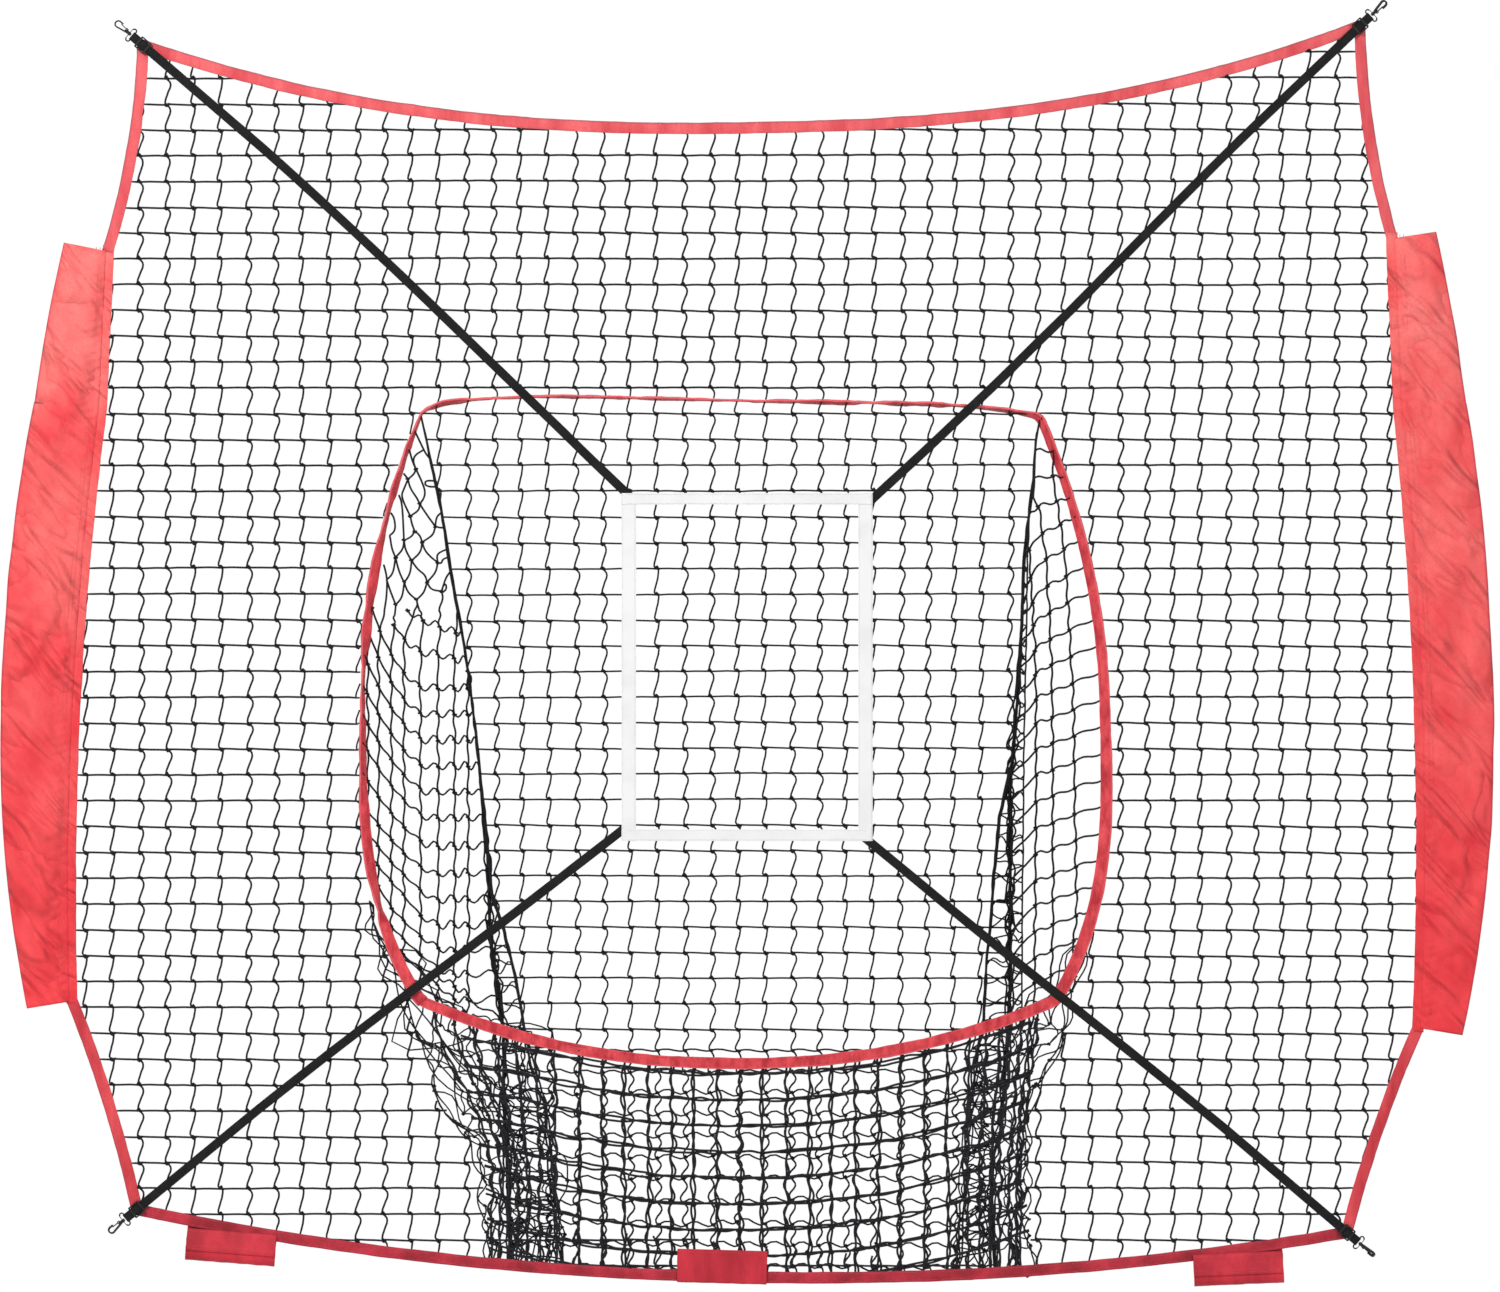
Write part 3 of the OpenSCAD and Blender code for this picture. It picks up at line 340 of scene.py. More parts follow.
class Pile:
    """The faces of one piece, gathered before its mesh is made."""

    def __init__(self):
        self.points, self.quads, self.uvs, self.paints = [], [], [], []
        self.count = 0

    def add(self, points, quads, uvs, paint=0):
        self.points.append(points.reshape(-1, 3))
        self.quads.append(quads.reshape(-1, 4) + self.count)
        self.uvs.append(uvs.reshape(-1, 4, 2))
        self.paints.append(np.full(len(self.quads[-1]), paint, np.int32))
        self.count += len(self.points[-1])

    def skin(self, points, uvs, paint=0, ends=True):
        """A tube of rings, points being [..., ring, round, 3], closed round and at both ends."""
        shape = points.shape
        points = points.reshape(-1, shape[-3], shape[-2], 3)
        uvs = uvs.reshape(-1, shape[-3], shape[-2] + 1, 2)
        tubes, rings, sides = points.shape[:3]
        index = np.arange(tubes * rings * sides).reshape(tubes, rings, sides)
        turn = np.roll(index, -1, axis=2)
        quads = np.stack([index[:, :-1], index[:, 1:], turn[:, 1:], turn[:, :-1]], -1)
        corners = np.stack(
            [uvs[:, :-1, :-1], uvs[:, 1:, :-1], uvs[:, 1:, 1:], uvs[:, :-1, 1:]], -2
        )
        self.add(points, quads, corners, paint)
        if ends:
            k = np.arange(sides // 2 - 1)
            ladder = np.stack([k, k + 1, sides - 2 - k, sides - 1 - k], -1)
            low, high = index[:, 0][:, ladder], index[:, -1][:, ladder[:, ::-1]]
            caps = np.concatenate([low, high], 1).reshape(-1, 4) + self.count - points.size // 3
            self.quads.append(caps)
            self.uvs.append(np.zeros((len(caps), 4, 2)))
            self.paints.append(np.full(len(caps), paint, np.int32))

    def strands(self, lines, radius, across, sides=6, paint=0):
        """Round cords along lines [cord, point, 3]. They never run along across."""
        lines = np.asarray(lines, float)
        if not len(lines):
            return
        along = unit(np.gradient(lines, axis=1))
        side = unit(np.cross(along, np.asarray(across, float)))
        up = np.cross(side, along)
        angle = np.arange(sides) * 2 * math.pi / sides
        cos, sin = np.cos(angle)[:, None], np.sin(angle)[:, None]
        ring = cos * side[:, :, None] + sin * up[:, :, None]
        radius = np.broadcast_to(np.asarray(radius, float), lines.shape[:2])
        points = lines[:, :, None] + ring * radius[:, :, None, None]
        steps = np.linalg.norm(np.diff(lines, axis=1), axis=2)
        length = np.concatenate([np.zeros((len(lines), 1)), np.cumsum(steps, 1)], 1) / 10
        uvs = np.empty(lines.shape[:2] + (sides + 1, 2))
        uvs[..., 0] = length[:, :, None]
        uvs[..., 1] = np.arange(sides + 1) / sides
        self.skin(points, uvs, paint)

    def ribbon(self, path, across, width, thick, twist=0.0, swell=0.0, paint=0, sides=16):
        """A flat band with rounded edges along path, across being its sideways direction."""
        along = unit(np.gradient(path, axis=0))
        across = unit(across - along * np.sum(across * along, -1, keepdims=True))
        face = np.cross(along, across)
        twist = np.broadcast_to(np.asarray(twist, float), len(path))[:, None]
        across, face = (
            across * np.cos(twist) + face * np.sin(twist),
            face * np.cos(twist) - across * np.sin(twist),
        )
        angle = (np.arange(sides) + 0.5) * 2 * math.pi / sides
        a = np.sign(np.cos(angle)) * np.abs(np.cos(angle)) ** 0.45
        b = np.sign(np.sin(angle)) * np.abs(np.sin(angle)) ** 0.5
        width = np.broadcast_to(np.asarray(width, float), len(path))[:, None, None]
        thick = np.broadcast_to(np.asarray(thick, float), len(path))[:, None, None]
        swell = np.broadcast_to(np.asarray(swell, float), (len(path), sides))[:, :, None]
        points = (
            path[:, None]
            + across[:, None] * a[:, None] * width / 2
            + face[:, None] * (b[:, None] * thick / 2 + swell)
        )
        steps = np.linalg.norm(np.diff(path, axis=0), axis=1)
        length = np.concatenate([[0], np.cumsum(steps)]) / 10
        uvs = np.empty((len(path), sides + 1, 2))
        uvs[..., 0] = length[:, None]
        uvs[..., 1] = (np.append(a, a[0]) + 1) / 2
        self.skin(points, uvs, paint)

    def build(self, name, materials, body="root", nodes=()):
        """Makes the mesh, and puts it in its nodes' place on a body."""
        points, quads = np.concatenate(self.points) * MM, np.concatenate(self.quads)
        mesh = bpy.data.meshes.new(name)
        mesh.vertices.add(len(points))
        mesh.vertices.foreach_set("co", points.ravel())
        mesh.loops.add(quads.size)
        mesh.loops.foreach_set("vertex_index", quads.ravel())
        mesh.polygons.add(len(quads))
        mesh.polygons.foreach_set("loop_start", np.arange(0, quads.size, 4))
        mesh.polygons.foreach_set("material_index", np.concatenate(self.paints))
        mesh.polygons.foreach_set("use_smooth", np.ones(len(quads), bool))
        mesh.uv_layers.new(name="weave").data.foreach_set("uv", np.concatenate(self.uvs).ravel())
        mesh.update(calc_edges=True)
        for material in materials:
            mesh.materials.append(material)
        piece = bpy.data.objects.new(name, mesh)
        bpy.context.scene.collection.objects.link(piece)
        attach(piece, body)
        if nodes:
            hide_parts(*nodes)
        return piece


def depth(lines, y):
    """Front-view lines [..., 2] set at a depth y."""
    lines = np.asarray(lines, float)
    y = np.broadcast_to(np.asarray(y, float), lines.shape[:-1])
    return np.stack([lines[..., 0], y, lines[..., 1]], -1)


def inside(loop, points):
    """Whether front-view points lie inside a closed line."""
    hit = np.zeros(points.shape[:-1], bool)
    x, z = points[..., 0], points[..., 1]
    for (x0, z0), (x1, z1) in zip(loop, np.roll(loop, -1, axis=0)):
        if z0 != z1:
            hit ^= ((z0 > z) != (z1 > z)) & (x < (x1 - x0) * (z - z0) / (z1 - z0) + x0)
    return hit


def clip(lines, keep):
    """The part of each front-view line for which keep holds."""
    held = keep(lines)
    out = [lines[held.all(1)]]
    count = lines.shape[1]
    fine = np.linspace(0, count - 1, 61)
    for line in lines[held.any(1) & ~held.all(1)]:
        runs, start = [], None
        for k, ok in enumerate(np.append(keep(picked(line, fine)), False)):
            if ok and start is None:
                start = k
            elif not ok and start is not None:
                runs.append((k - start, start, k - 1))
                start = None
        length, a, b = max(runs) if runs else (0, 0, 0)
        if length > 3:
            out.append(picked(line, np.linspace(fine[a], fine[b], count))[None])
    return np.concatenate(out)


# ---- Materials ----


def shader(name, colour, roughness, **sockets):
    """A Principled material, with its node tree, shader and a few helpers."""
    material = bpy.data.materials.new(name)
    material.use_nodes = True
    tree = material.node_tree
    principled = tree.nodes["Principled BSDF"]
    principled.inputs["Base Color"].default_value = (*colour, 1.0)
    principled.inputs["Roughness"].default_value = roughness
    for socket, value in sockets.items():
        principled.inputs[socket.replace("_", " ")].default_value = value
    return material, tree, principled


def node(tree, kind, inputs=(), **settings):
    """A node with its settings, its inputs given as values or as sockets to link."""
    made = tree.nodes.new(kind)
    for key, value in settings.items():
        setattr(made, key, value)
    for key, value in dict(inputs).items():
        if isinstance(value, bpy.types.NodeSocket):
            tree.links.new(value, made.inputs[key])
        else:
            made.inputs[key].default_value = value
    return made


def mixed(tree, factor, first, second, blend="MIX"):
    """A colour mix, whose first and second are colours or sockets."""
    made = tree.nodes.new("ShaderNodeMix")
    made.data_type, made.blend_type = "RGBA", blend
    for key, value in ((0, factor), (6, first), (7, second)):
        if isinstance(value, bpy.types.NodeSocket):
            tree.links.new(value, made.inputs[key])
        else:
            made.inputs[key].default_value = value if key == 0 else (*value, 1.0)
    return made.outputs[2]


def ramp(tree, factor, *stops):
    """A colour ramp of grey levels, as (place, level)."""
    made = node(tree, "ShaderNodeValToRGB", {"Fac": factor})
    elements = made.color_ramp.elements
    while len(elements) < len(stops):
        elements.new(0.5)
    for element, (place, level) in zip(elements, stops):
        element.position, element.color = place, (level, level, level, 1.0)
    return made.outputs["Color"]


def maths(tree, operation, *values):
    """An operation on numbers or sockets."""
    return node(tree, "ShaderNodeMath", dict(enumerate(values)), operation=operation).outputs[0]


def specks(tree, vector, scale, detail, **more):
    """Soft random patches."""
    inputs = {"Vector": vector, "Scale": scale, "Detail": detail, **more}
    return node(tree, "ShaderNodeTexNoise", inputs).outputs["Fac"]


def bands(tree, vector, scale, distortion, way):
    """Waves that run across a way."""
    inputs = {"Vector": vector, "Scale": scale, "Distortion": distortion}
    return node(tree, "ShaderNodeTexWave", inputs, bands_direction=way).outputs["Fac"]


def bumped(tree, height, strength, distance, **under):
    """A relief, on top of the one under it if that is given as its Normal."""
    inputs = {"Height": height, "Strength": strength, "Distance": distance, **under}
    return node(tree, "ShaderNodeBump", inputs).outputs[0]


def finished(material, tint, normal):
    """The material with its colour and its relief in place."""
    tree = material.node_tree
    inputs = tree.nodes["Principled BSDF"].inputs
    tree.links.new(tint, inputs["Base Color"])
    tree.links.new(normal, inputs["Normal"])
    return material


# Where across a tape's width its edge colour shows; on most hems it is painted shade of the rolled
# edges
TAPE_EDGES = ((0.0, 0.15), (0.12, 0), (0.84, 0), (0.97, 0.8))


def cloth(
    name, colour, dark, light, edge=None, streak=(22, 22, 5), painted_top_light=None, edges=TAPE_EDGES,
    crease=0.0,
):
    """Woven polyester: fine threads, soft patches of tone and painted shade, and an edge if given.

    A long upright piece is lighter at its top: a painted highlight, as the light from above falls
    most there. Creases slant across it, deeper where crease is more, with painted shade along
    them.
    """
    material, tree, _ = shader(
        name, colour, 0.6, Sheen_Weight=0.12, Sheen_Roughness=0.45, Specular_IOR_Level=0.35
    )
    place = node(tree, "ShaderNodeTexCoord").outputs
    stretch = node(tree, "ShaderNodeMapping", {"Vector": place["Object"], "Scale": streak})
    patches = specks(tree, stretch.outputs[0], 1.0, 4.0, Roughness=0.6)
    fibres = specks(tree, place["Object"], 260.0, 2.0)
    # Patches between dark and light: the cloth's random tone, with painted light and shade of its
    # soft folds
    tint = mixed(tree, ramp(tree, patches, (0.36, 0), (0.66, 1)), dark, light)
    # Painted highlight: a tall piece is mixed towards a lighter colour higher up, by its height
    if painted_top_light:
        up = node(tree, "ShaderNodeSeparateXYZ", {0: place["Object"]})
        high = node(tree, "ShaderNodeMapRange", {0: up.outputs[2], 1: 0.5, 2: 1.8})
        top_light_tint = mixed(tree, ramp(tree, patches, (0.3, 0), (0.6, 1)), light, painted_top_light)
        tint = mixed(tree, high.outputs[0], tint, top_light_tint)
    tint = mixed(tree, ramp(tree, fibres, (0.35, 0), (0.75, 0.25)), tint, dark)
    lean = node(
        tree, "ShaderNodeMapping",
        {"Vector": place["Object"], "Rotation": (0, -0.75, 0), "Scale": (0.055, 0.1, 0.16)},
        vector_type="TEXTURE",
    )
    wrinkle = specks(tree, lean.outputs[0], 1.0, 2.0, Distortion=0.5)
    fall = maths(tree, "ABSOLUTE", maths(tree, "SUBTRACT", wrinkle, 0.5))
    # Painted shade: crease lines are darkened towards the dark colour, besides their relief below
    if crease:
        tint = mixed(tree, ramp(tree, fall, (0.0, 0.5 * crease), (0.02, 0)), tint, dark)
    # A darker edge colour, as on most hems and the sleeves, is painted shade where a rolled edge
    # or fold turns away from the light
    if edge:
        side = node(tree, "ShaderNodeSeparateXYZ", {0: place["UV"]})
        tint = mixed(tree, ramp(tree, side.outputs[1], *edges), tint, edge)
    threads = [bands(tree, place["Object"], 950.0, 1.2, way) for way in ("X", "Z")]
    normal = bumped(tree, maths(tree, "MAXIMUM", *threads), 0.25, 0.0003)
    normal = bumped(tree, patches, 0.35, 0.002, Normal=normal)
    normal = bumped(tree, fall, 0.35 + crease, 0.11 * crease + 0.003, Normal=normal)
    return finished(material, tint, normal)


def twisted(name, colour, roughness, turns, light):
    """Cord twisted from plies, which wind round it along its length."""
    material, tree, _ = shader(name, colour, roughness, Specular_IOR_Level=0.2)
    place = node(tree, "ShaderNodeTexCoord").outputs
    wind = node(tree, "ShaderNodeMapping", {"Vector": place["UV"], "Rotation": (0, 0, 0.9)})
    plies = bands(tree, wind.outputs[0], turns, 0.6, "X")
    fuzz = specks(tree, place["Object"], 500.0, 2.0)
    tint = mixed(tree, ramp(tree, fuzz, (0.4, 0), (0.8, 1)), colour, light)
    return finished(material, tint, bumped(tree, plies, 0.5, 0.0005))


def webbing(name, colour, light):
    """Flat woven webbing: a chevron of ribs along the band, with painted shade between them."""
    material, tree, _ = shader(name, colour, 0.75, Sheen_Weight=0.05, Specular_IOR_Level=0.15)
    place = node(tree, "ShaderNodeTexCoord").outputs
    along, across, _ = node(tree, "ShaderNodeSeparateXYZ", {0: place["UV"]}).outputs
    chevron = maths(tree, "PINGPONG", maths(tree, "MULTIPLY", across, 4.0), 1.0)
    shift = maths(tree, "ADD", along, maths(tree, "MULTIPLY", chevron, 0.32))
    wave = maths(tree, "SINE", maths(tree, "MULTIPLY", shift, 40.0))
    ribs = maths(tree, "MULTIPLY_ADD", wave, 0.5, 0.5)
    dust = specks(tree, place["Object"], 60.0, 5.0)
    tint = mixed(tree, ramp(tree, dust, (0.35, 0), (0.75, 1)), colour, light)
    # Painted shade in the grooves between the ribs
    tint = mixed(tree, ramp(tree, ribs, (0.0, 0.35), (0.5, 0)), tint, (0.004,) * 3)
    return finished(material, tint, bumped(tree, ribs, 0.5, 0.0006))


def coated(name, colour, grey):
    """White coated tape: faint ribs under a soft skin, a little grubby."""
    material, tree, _ = shader(name, colour, 0.42, Specular_IOR_Level=0.45)
    place = node(tree, "ShaderNodeTexCoord").outputs
    grime = specks(tree, place["Object"], 14.0, 5.0)
    tint = mixed(tree, ramp(tree, grime, (0.45, 0), (0.8, 1)), colour, grey)
    ribs = bands(tree, place["Object"], 420.0, 0.5, "DIAGONAL")
    return finished(material, tint, bumped(tree, ribs, 0.12, 0.0003))


def moulded(name, colour, scuffed, roughness, metallic=0.0):
    """Moulded plastic or blackened steel, with rounded edges, a fine grain and light scuffs."""
    material, tree, _ = shader(
        name, colour, roughness, Metallic=metallic, Specular_IOR_Level=0.25
    )
    place = node(tree, "ShaderNodeTexCoord").outputs
    scuffs = specks(tree, place["Object"], 180.0, 6.0, Roughness=0.7)
    tint = mixed(tree, ramp(tree, scuffs, (0.5, 0), (0.78, 1)), colour, scuffed)
    edges = node(tree, "ShaderNodeBevel", {"Radius": 0.0005}, samples=6)
    relief = bumped(tree, scuffs, 0.15, 0.0002, Normal=edges.outputs[0])
    return finished(material, tint, relief)


TWINE = twisted("netting_twine", (0.006, 0.006, 0.009), 0.6, 4.0, (0.02, 0.02, 0.025))
THREAD = twisted("red_thread", (0.62, 0.11, 0.13), 0.6, 8.0, (0.85, 0.28, 0.30))
DEEP_THREAD = twisted("deep_red_thread", (0.36, 0.02, 0.035), 0.6, 8.0, (0.55, 0.06, 0.08))
DARK_THREAD = twisted("black_thread", (0.008, 0.008, 0.009), 0.6, 8.0, (0.03, 0.03, 0.03))
PALE_THREAD = twisted("white_thread", (0.62, 0.62, 0.62), 0.6, 8.0, (0.8, 0.8, 0.8))
HEM_TAPE = cloth(
    "hem_tape", (0.84, 0.115, 0.125), (0.68, 0.06, 0.075), (0.95, 0.16, 0.17), (0.30, 0.07, 0.09)
)
# This tape and the bottom one are darker copies of the hem tape: painted shade, as less light
# reaches the hems low down
LOW_TAPE = cloth(
    "low_hem_tape", (0.73, 0.055, 0.07), (0.52, 0.024, 0.038), (0.88, 0.09, 0.105),
    (0.45, 0.04, 0.06),
)
BOTTOM_TAPE = cloth(
    "bottom_hem_tape", (0.44, 0.014, 0.034), (0.27, 0.005, 0.016), (0.62, 0.03, 0.058),
    (0.40, 0.02, 0.04), (14, 14, 14),
)
RIM_TAPE = cloth(
    "rim_tape", (0.70, 0.038, 0.054), (0.46, 0.014, 0.028), (0.86, 0.08, 0.095),
    (0.88, 0.14, 0.16), (60, 60, 25),
)
# The sleeves' top colour, (1.0, 0.22, 0.20), is the painted highlight on their upper parts
SLEEVE_CLOTH = cloth(
    "sleeve_cloth", (0.92, 0.042, 0.054), (0.78, 0.022, 0.036), (0.96, 0.062, 0.072),
    (0.60, 0.035, 0.07), (9, 9, 6), (1.0, 0.22, 0.20),
    # The sleeves' dark edge colour shows at their outer folds, as painted shade
    ((0.0, 0.3), (0.04, 0), (0.96, 0), (0.995, 0.8)), 0.5,
)
TAB_CLOTH = cloth("tab_cloth", (0.57, 0.018, 0.04), (0.42, 0.01, 0.024), (0.72, 0.03, 0.055))
WEBBING = webbing("black_webbing", (0.007, 0.007, 0.008), (0.016, 0.016, 0.017))
STRIP = coated("white_tape", (0.89, 0.89, 0.89), (0.78, 0.78, 0.785))
PLASTIC = moulded("black_plastic", (0.008, 0.008, 0.009), (0.024, 0.024, 0.026), 0.58)
STEEL = moulded("pin_steel", (0.20, 0.20, 0.21), (0.35, 0.35, 0.35), 0.35, 1.0)


# ---- Netting ----

COLUMN = 47.0
ROW = 44.6
KNOT_X = -20.0
KNOT_Z = 20.0
CORD_R = 1.78
FRONT = (0, 1, 0)
UPPER_ROW = 9

# How a hanging cord leaves its straight line on the way down from one knot to the next. In two
# columns of four it swings wide, and in the other two it hangs back.
DOWN = np.array([0, 0.06, 0.15, 0.25, 0.36, 0.5, 0.65, 0.8, 0.9, 0.96, 1])
WIDE = np.array([-1.7, 2.1, 5.2, 6.0, 5.2, 2.6, 0.3, -2.1, -2.8, -2.8, -2.1])
BACK = np.array([1.0, 1.7, 1.7, 1.0, 0.3, -1.6, -3.3, -5.2, -5.7, -4.1, 0.7])
# The same for a level cord, from left to right. Two rows of four slope down to the right.
ALONG = np.linspace(0, 1, 9)
FLAT = 0.4 - 2.8 * (ALONG - 0.5) ** 2
SLOPED = 0.4 - 1.7 * ALONG
# The visible turn of a knot as [x, y, z]: it stands up in the flat rows and hangs in the others
KNOT_UP = np.array([[-5, -1.0, 0], [-3.6, -1.7, 2.4], [-1.4, -1.4, 4.2], [0.8, -2.0, 1.6],
                    [3.4, -1.2, -0.8]])
KNOT_DOWN = np.array([[-4.6, -1.0, 0.3], [-2.4, -2.0, -2.4], [0.2, -1.5, -4.2], [2.4, -2.0, -2.2],
                      [4.8, -1.0, 0.6]])
KNOT_BEHIND = np.array([[-3.4, 1.0, 0.2], [-1.6, 1.8, 1.6], [0, 1.4, 0], [1.6, 1.8, -1.6],
                        [3.4, 1.0, 0.2]])


def knot_place(i, j):
    """Front-view place of a knot of the flat netting."""
    x = KNOT_X + COLUMN * i + 1.0 * noise(i * 0.7, j * 0.6, 3) + 1.6 * noise(i * 0.17, j * 0.13, 4)
    z = KNOT_Z + ROW * j + 0.7 * noise(i * 0.6, j * 0.7, 5) + 1.4 * noise(i * 0.11, j * 0.19, 6)
    return np.stack([x, z], -1)


def hanging(top, bottom, i, j, slack=0.0):
    """Hanging cords of columns i from knots top down to knots bottom."""
    wide = np.isin(i % 4, (2, 3))[..., None]
    slack = np.broadcast_to(slack, i.shape)[..., None]
    early = 0.08 - 0.07 * noise(i * 1.7, j * 1.3, 12)[..., None]
    loose = 5.4 * np.sin(2 * math.pi * (DOWN - early))
    sway = lerp(np.where(wide, WIDE, BACK), loose, slack)
    sway = sway * (1 + 0.16 * noise(i * 0.9, j * 0.8, 7))[..., None]
    lines = lerp(top[..., None, :], bottom[..., None, :], DOWN[:, None])
    lines[..., 0] += sway + 0.35 * noise(i[..., None] * 3.1, j[..., None] + DOWN * 4, 8)
    return lines.reshape(-1, len(DOWN), 2)


def level(left, right, i, j, slack=0.0):
    """Level cords of rows j from knots left to knots right."""
    flat = np.isin(j % 4, (2, 3))[..., None]
    lift = np.where(flat, FLAT, SLOPED)
    lines = lerp(left[..., None, :], right[..., None, :], ALONG[:, None])
    wave = np.sin(2 * math.pi * ALONG - 0.4) + 0.4
    wave = wave * 4.4 * np.broadcast_to(slack, i.shape)[..., None]
    lines[..., 1] += lift + wave + 0.3 * noise(i[..., None] + ALONG * 3, j[..., None] * 3.3, 9)
    return lines.reshape(-1, len(ALONG), 2)


def knots(pile, centres, up, sizes, seed):
    """A knot at each centre [x, y, z], a turn of cord in front and one behind."""
    rng = np.random.default_rng(seed)
    lean = rng.normal(0, 0.16, len(centres))
    for shape in (None, KNOT_BEHIND):
        turn = np.where(up[:, None, None], KNOT_UP, KNOT_DOWN) if shape is None else shape[None]
        turn = turn * sizes[:, None, None] + rng.normal(0, 0.25, (len(centres), 5, 3))
        x = turn[..., 0] * np.cos(lean)[:, None] - turn[..., 2] * np.sin(lean)[:, None]
        z = turn[..., 0] * np.sin(lean)[:, None] + turn[..., 2] * np.cos(lean)[:, None]
        lines = centres[:, None] + np.stack([x, turn[..., 1], z], -1)
        pile.strands(lines, CORD_R * 0.95, FRONT, sides=4)


pocket_loop = joined(
    RIM["rim_top"],
    np.array([p for p in RIM["rim_right"] if p[1] > 645]),
    np.array(BUNCH_RIGHT, float),
    np.array(BUNCH_LEFT, float)[::-1],
    np.array([p for p in RIM["rim_left"] if p[1] > 655]),
)


def in_front_net(points):
    """Inside the hems and outside the pocket, up to where the tapes hold the netting."""
    held = inside(HEM_LOOP, points) & ~inside(pocket_loop, points)
    inner = np.where(np.abs(points[..., 1] - MOUTH_TOP_Z) < 40, 2.5, 5.0)
    held[held] = (gap_to(HEM_LOOP, points[held]) > 5) & (
        gap_to(RIM_LOOP, points[held]) > inner[held]
    )
    return held


grid_i, grid_j = np.meshgrid(np.arange(-26, 27), np.arange(-1, 49), indexing="ij")
places = knot_place(grid_i, grid_j)
cords_down = clip(
    hanging(places[:, 1:], places[:, :-1], grid_i[:, 1:], grid_j[:, 1:]), in_front_net
)
cords_level = clip(
    level(places[:-1], places[1:], grid_i[:-1], grid_j[:-1]), in_front_net
)
held_knots = in_front_net(places)
held_knots[held_knots] = (gap_to(HEM_LOOP, places[held_knots]) > 12) & (
    gap_to(RIM_LOOP, places[held_knots]) > 11
)
knot_points = places[held_knots]
knot_up = np.isin(grid_j[held_knots] % 4, (2, 3))


def panel_of(points):
    """0 for the panel above the mouth, 1 and 2 for those on its left and right."""
    return np.where(points[:, 1] > MOUTH_TOP_Z, 0, np.where(points[:, 0] < 0, 1, 2))


for number, name in enumerate(("front_net_top", "front_net_left", "front_net_right")):
    pile = Pile()
    for lines in (cords_down, cords_level):
        lines = lines[panel_of(lines.mean(1)) == number]
        flat = lines.reshape(-1, 2)
        free = smooth((np.minimum(gap_to(HEM_LOOP, flat), gap_to(RIM_LOOP, flat)) - 9) / 8)
        free = free.reshape(lines.shape[:2])
        wobble = 0.3 * free * noise(lines[..., 0] / 60, lines[..., 1] / 60, 11)
        pile.strands(depth(lines, wobble), CORD_R * (0.82 + 0.18 * free), FRONT)
    chosen = panel_of(knot_points) == number
    knots(
        pile, depth(knot_points[chosen], 0.0), knot_up[chosen],
        np.full(chosen.sum(), 1.0), 20 + number,
    )
    pile.build(name + ".cords", [TWINE], nodes=[name])


# ---- Pocket ----


def cord_along(points, depths, offsets, seed, loose, spread=None):
    """Cords that follow one line [x, z] side by side, each at its offset, and cross at times.

    spread gives the share of their offsets and of their looseness at each height.
    """
    line = even(even(points, 1.0), 5.0)
    s = np.arange(len(line)) * 5.0
    out = sideways(line)[1]
    share = np.ones(len(line)) if spread is None else spread(line[:, 1])
    lines = []
    for k, offset in enumerate(offsets):
        shift = share * (offset + loose * noise(s / 17, k * 3.7, seed))
        y = depths(line[:, 1]) + share * loose * noise(s / 23, k * 5.1, seed + 1)
        lines.append(depth(line + shift[:, None] * out, y))
    return np.array(lines)


def rounded(points, count):
    """A few points as one soft line of many."""
    line = np.array(points, float)
    for _ in range(2):
        cut = [line[:1]]
        for a, b in zip(line[:-1], line[1:]):
            cut += [lerp(a, b, 0.25)[None], lerp(a, b, 0.75)[None]]
        line = np.concatenate([*cut, line[-1:]])
    return picked(line, np.linspace(0, len(line) - 1, count))


# The back of the pocket: the flat netting's own grid down to its deepest row, and closer, slack
# rows from there to the hem
back = Pile()
back_i, back_j = np.meshgrid(np.arange(-12, 13), np.arange(-2, 35), indexing="ij")
back_places = knot_place(back_i, back_j)
low = back_j < UPPER_ROW
low_z = KNOT_Z + ROW * UPPER_ROW - 37.0 * (UPPER_ROW - back_j)
slackness = np.clip((UPPER_ROW - back_j) / 3.0, 0, 1)
back_places[..., 1] = np.where(
    low, low_z + 4 * slackness * noise(back_i * 0.8, back_j * 0.9, 31), back_places[..., 1]
)
back_places[..., 0] += 3.5 * slackness * noise(back_i * 0.9, back_j * 0.7, 32)


def in_pocket_back(points):
    x, z = points[..., 0], points[..., 1]
    return (
        (x > fold_x(z, -1)) & (x < fold_x(z, 1))
        & (z < z_on(RIM["rim_top"], x)) & (z > z_on(HEM["bottom_hem"], x))
    )


def fewer(lines, count):
    """The same lines with fewer points."""
    place = np.linspace(0, lines.shape[1] - 1, count)
    first = np.minimum(place.astype(int), lines.shape[1] - 2)
    return lerp(lines[:, first], lines[:, first + 1], (place - first)[:, None])


down = clip(
    hanging(back_places[:, 1:], back_places[:, :-1], back_i[:, 1:], back_j[:, 1:],
            slackness[:, :-1]),
    in_pocket_back,
)
across = fewer(clip(
    level(back_places[:-1], back_places[1:], back_i[:-1], back_j[:-1], slackness[:-1]),
    in_pocket_back,
), 6)
for lines in (down, across):
    back.strands(
        depth(lines, back_y(lines[..., 1])), CORD_R,
        (0.05, 1, 0.6) if lines is across else (1, 0.02, 0.03),
    )
inner = in_pocket_back(back_places)
knots(
    back, depth(back_places[inner], back_y(back_places[inner][:, 1])),
    np.isin(back_j[inner] % 4, (2, 3)), np.where(low[inner], 0.65, 1.0), 33,
)
back.build("pocket_back_net.cords", [TWINE], nodes=["pocket_back_net"])


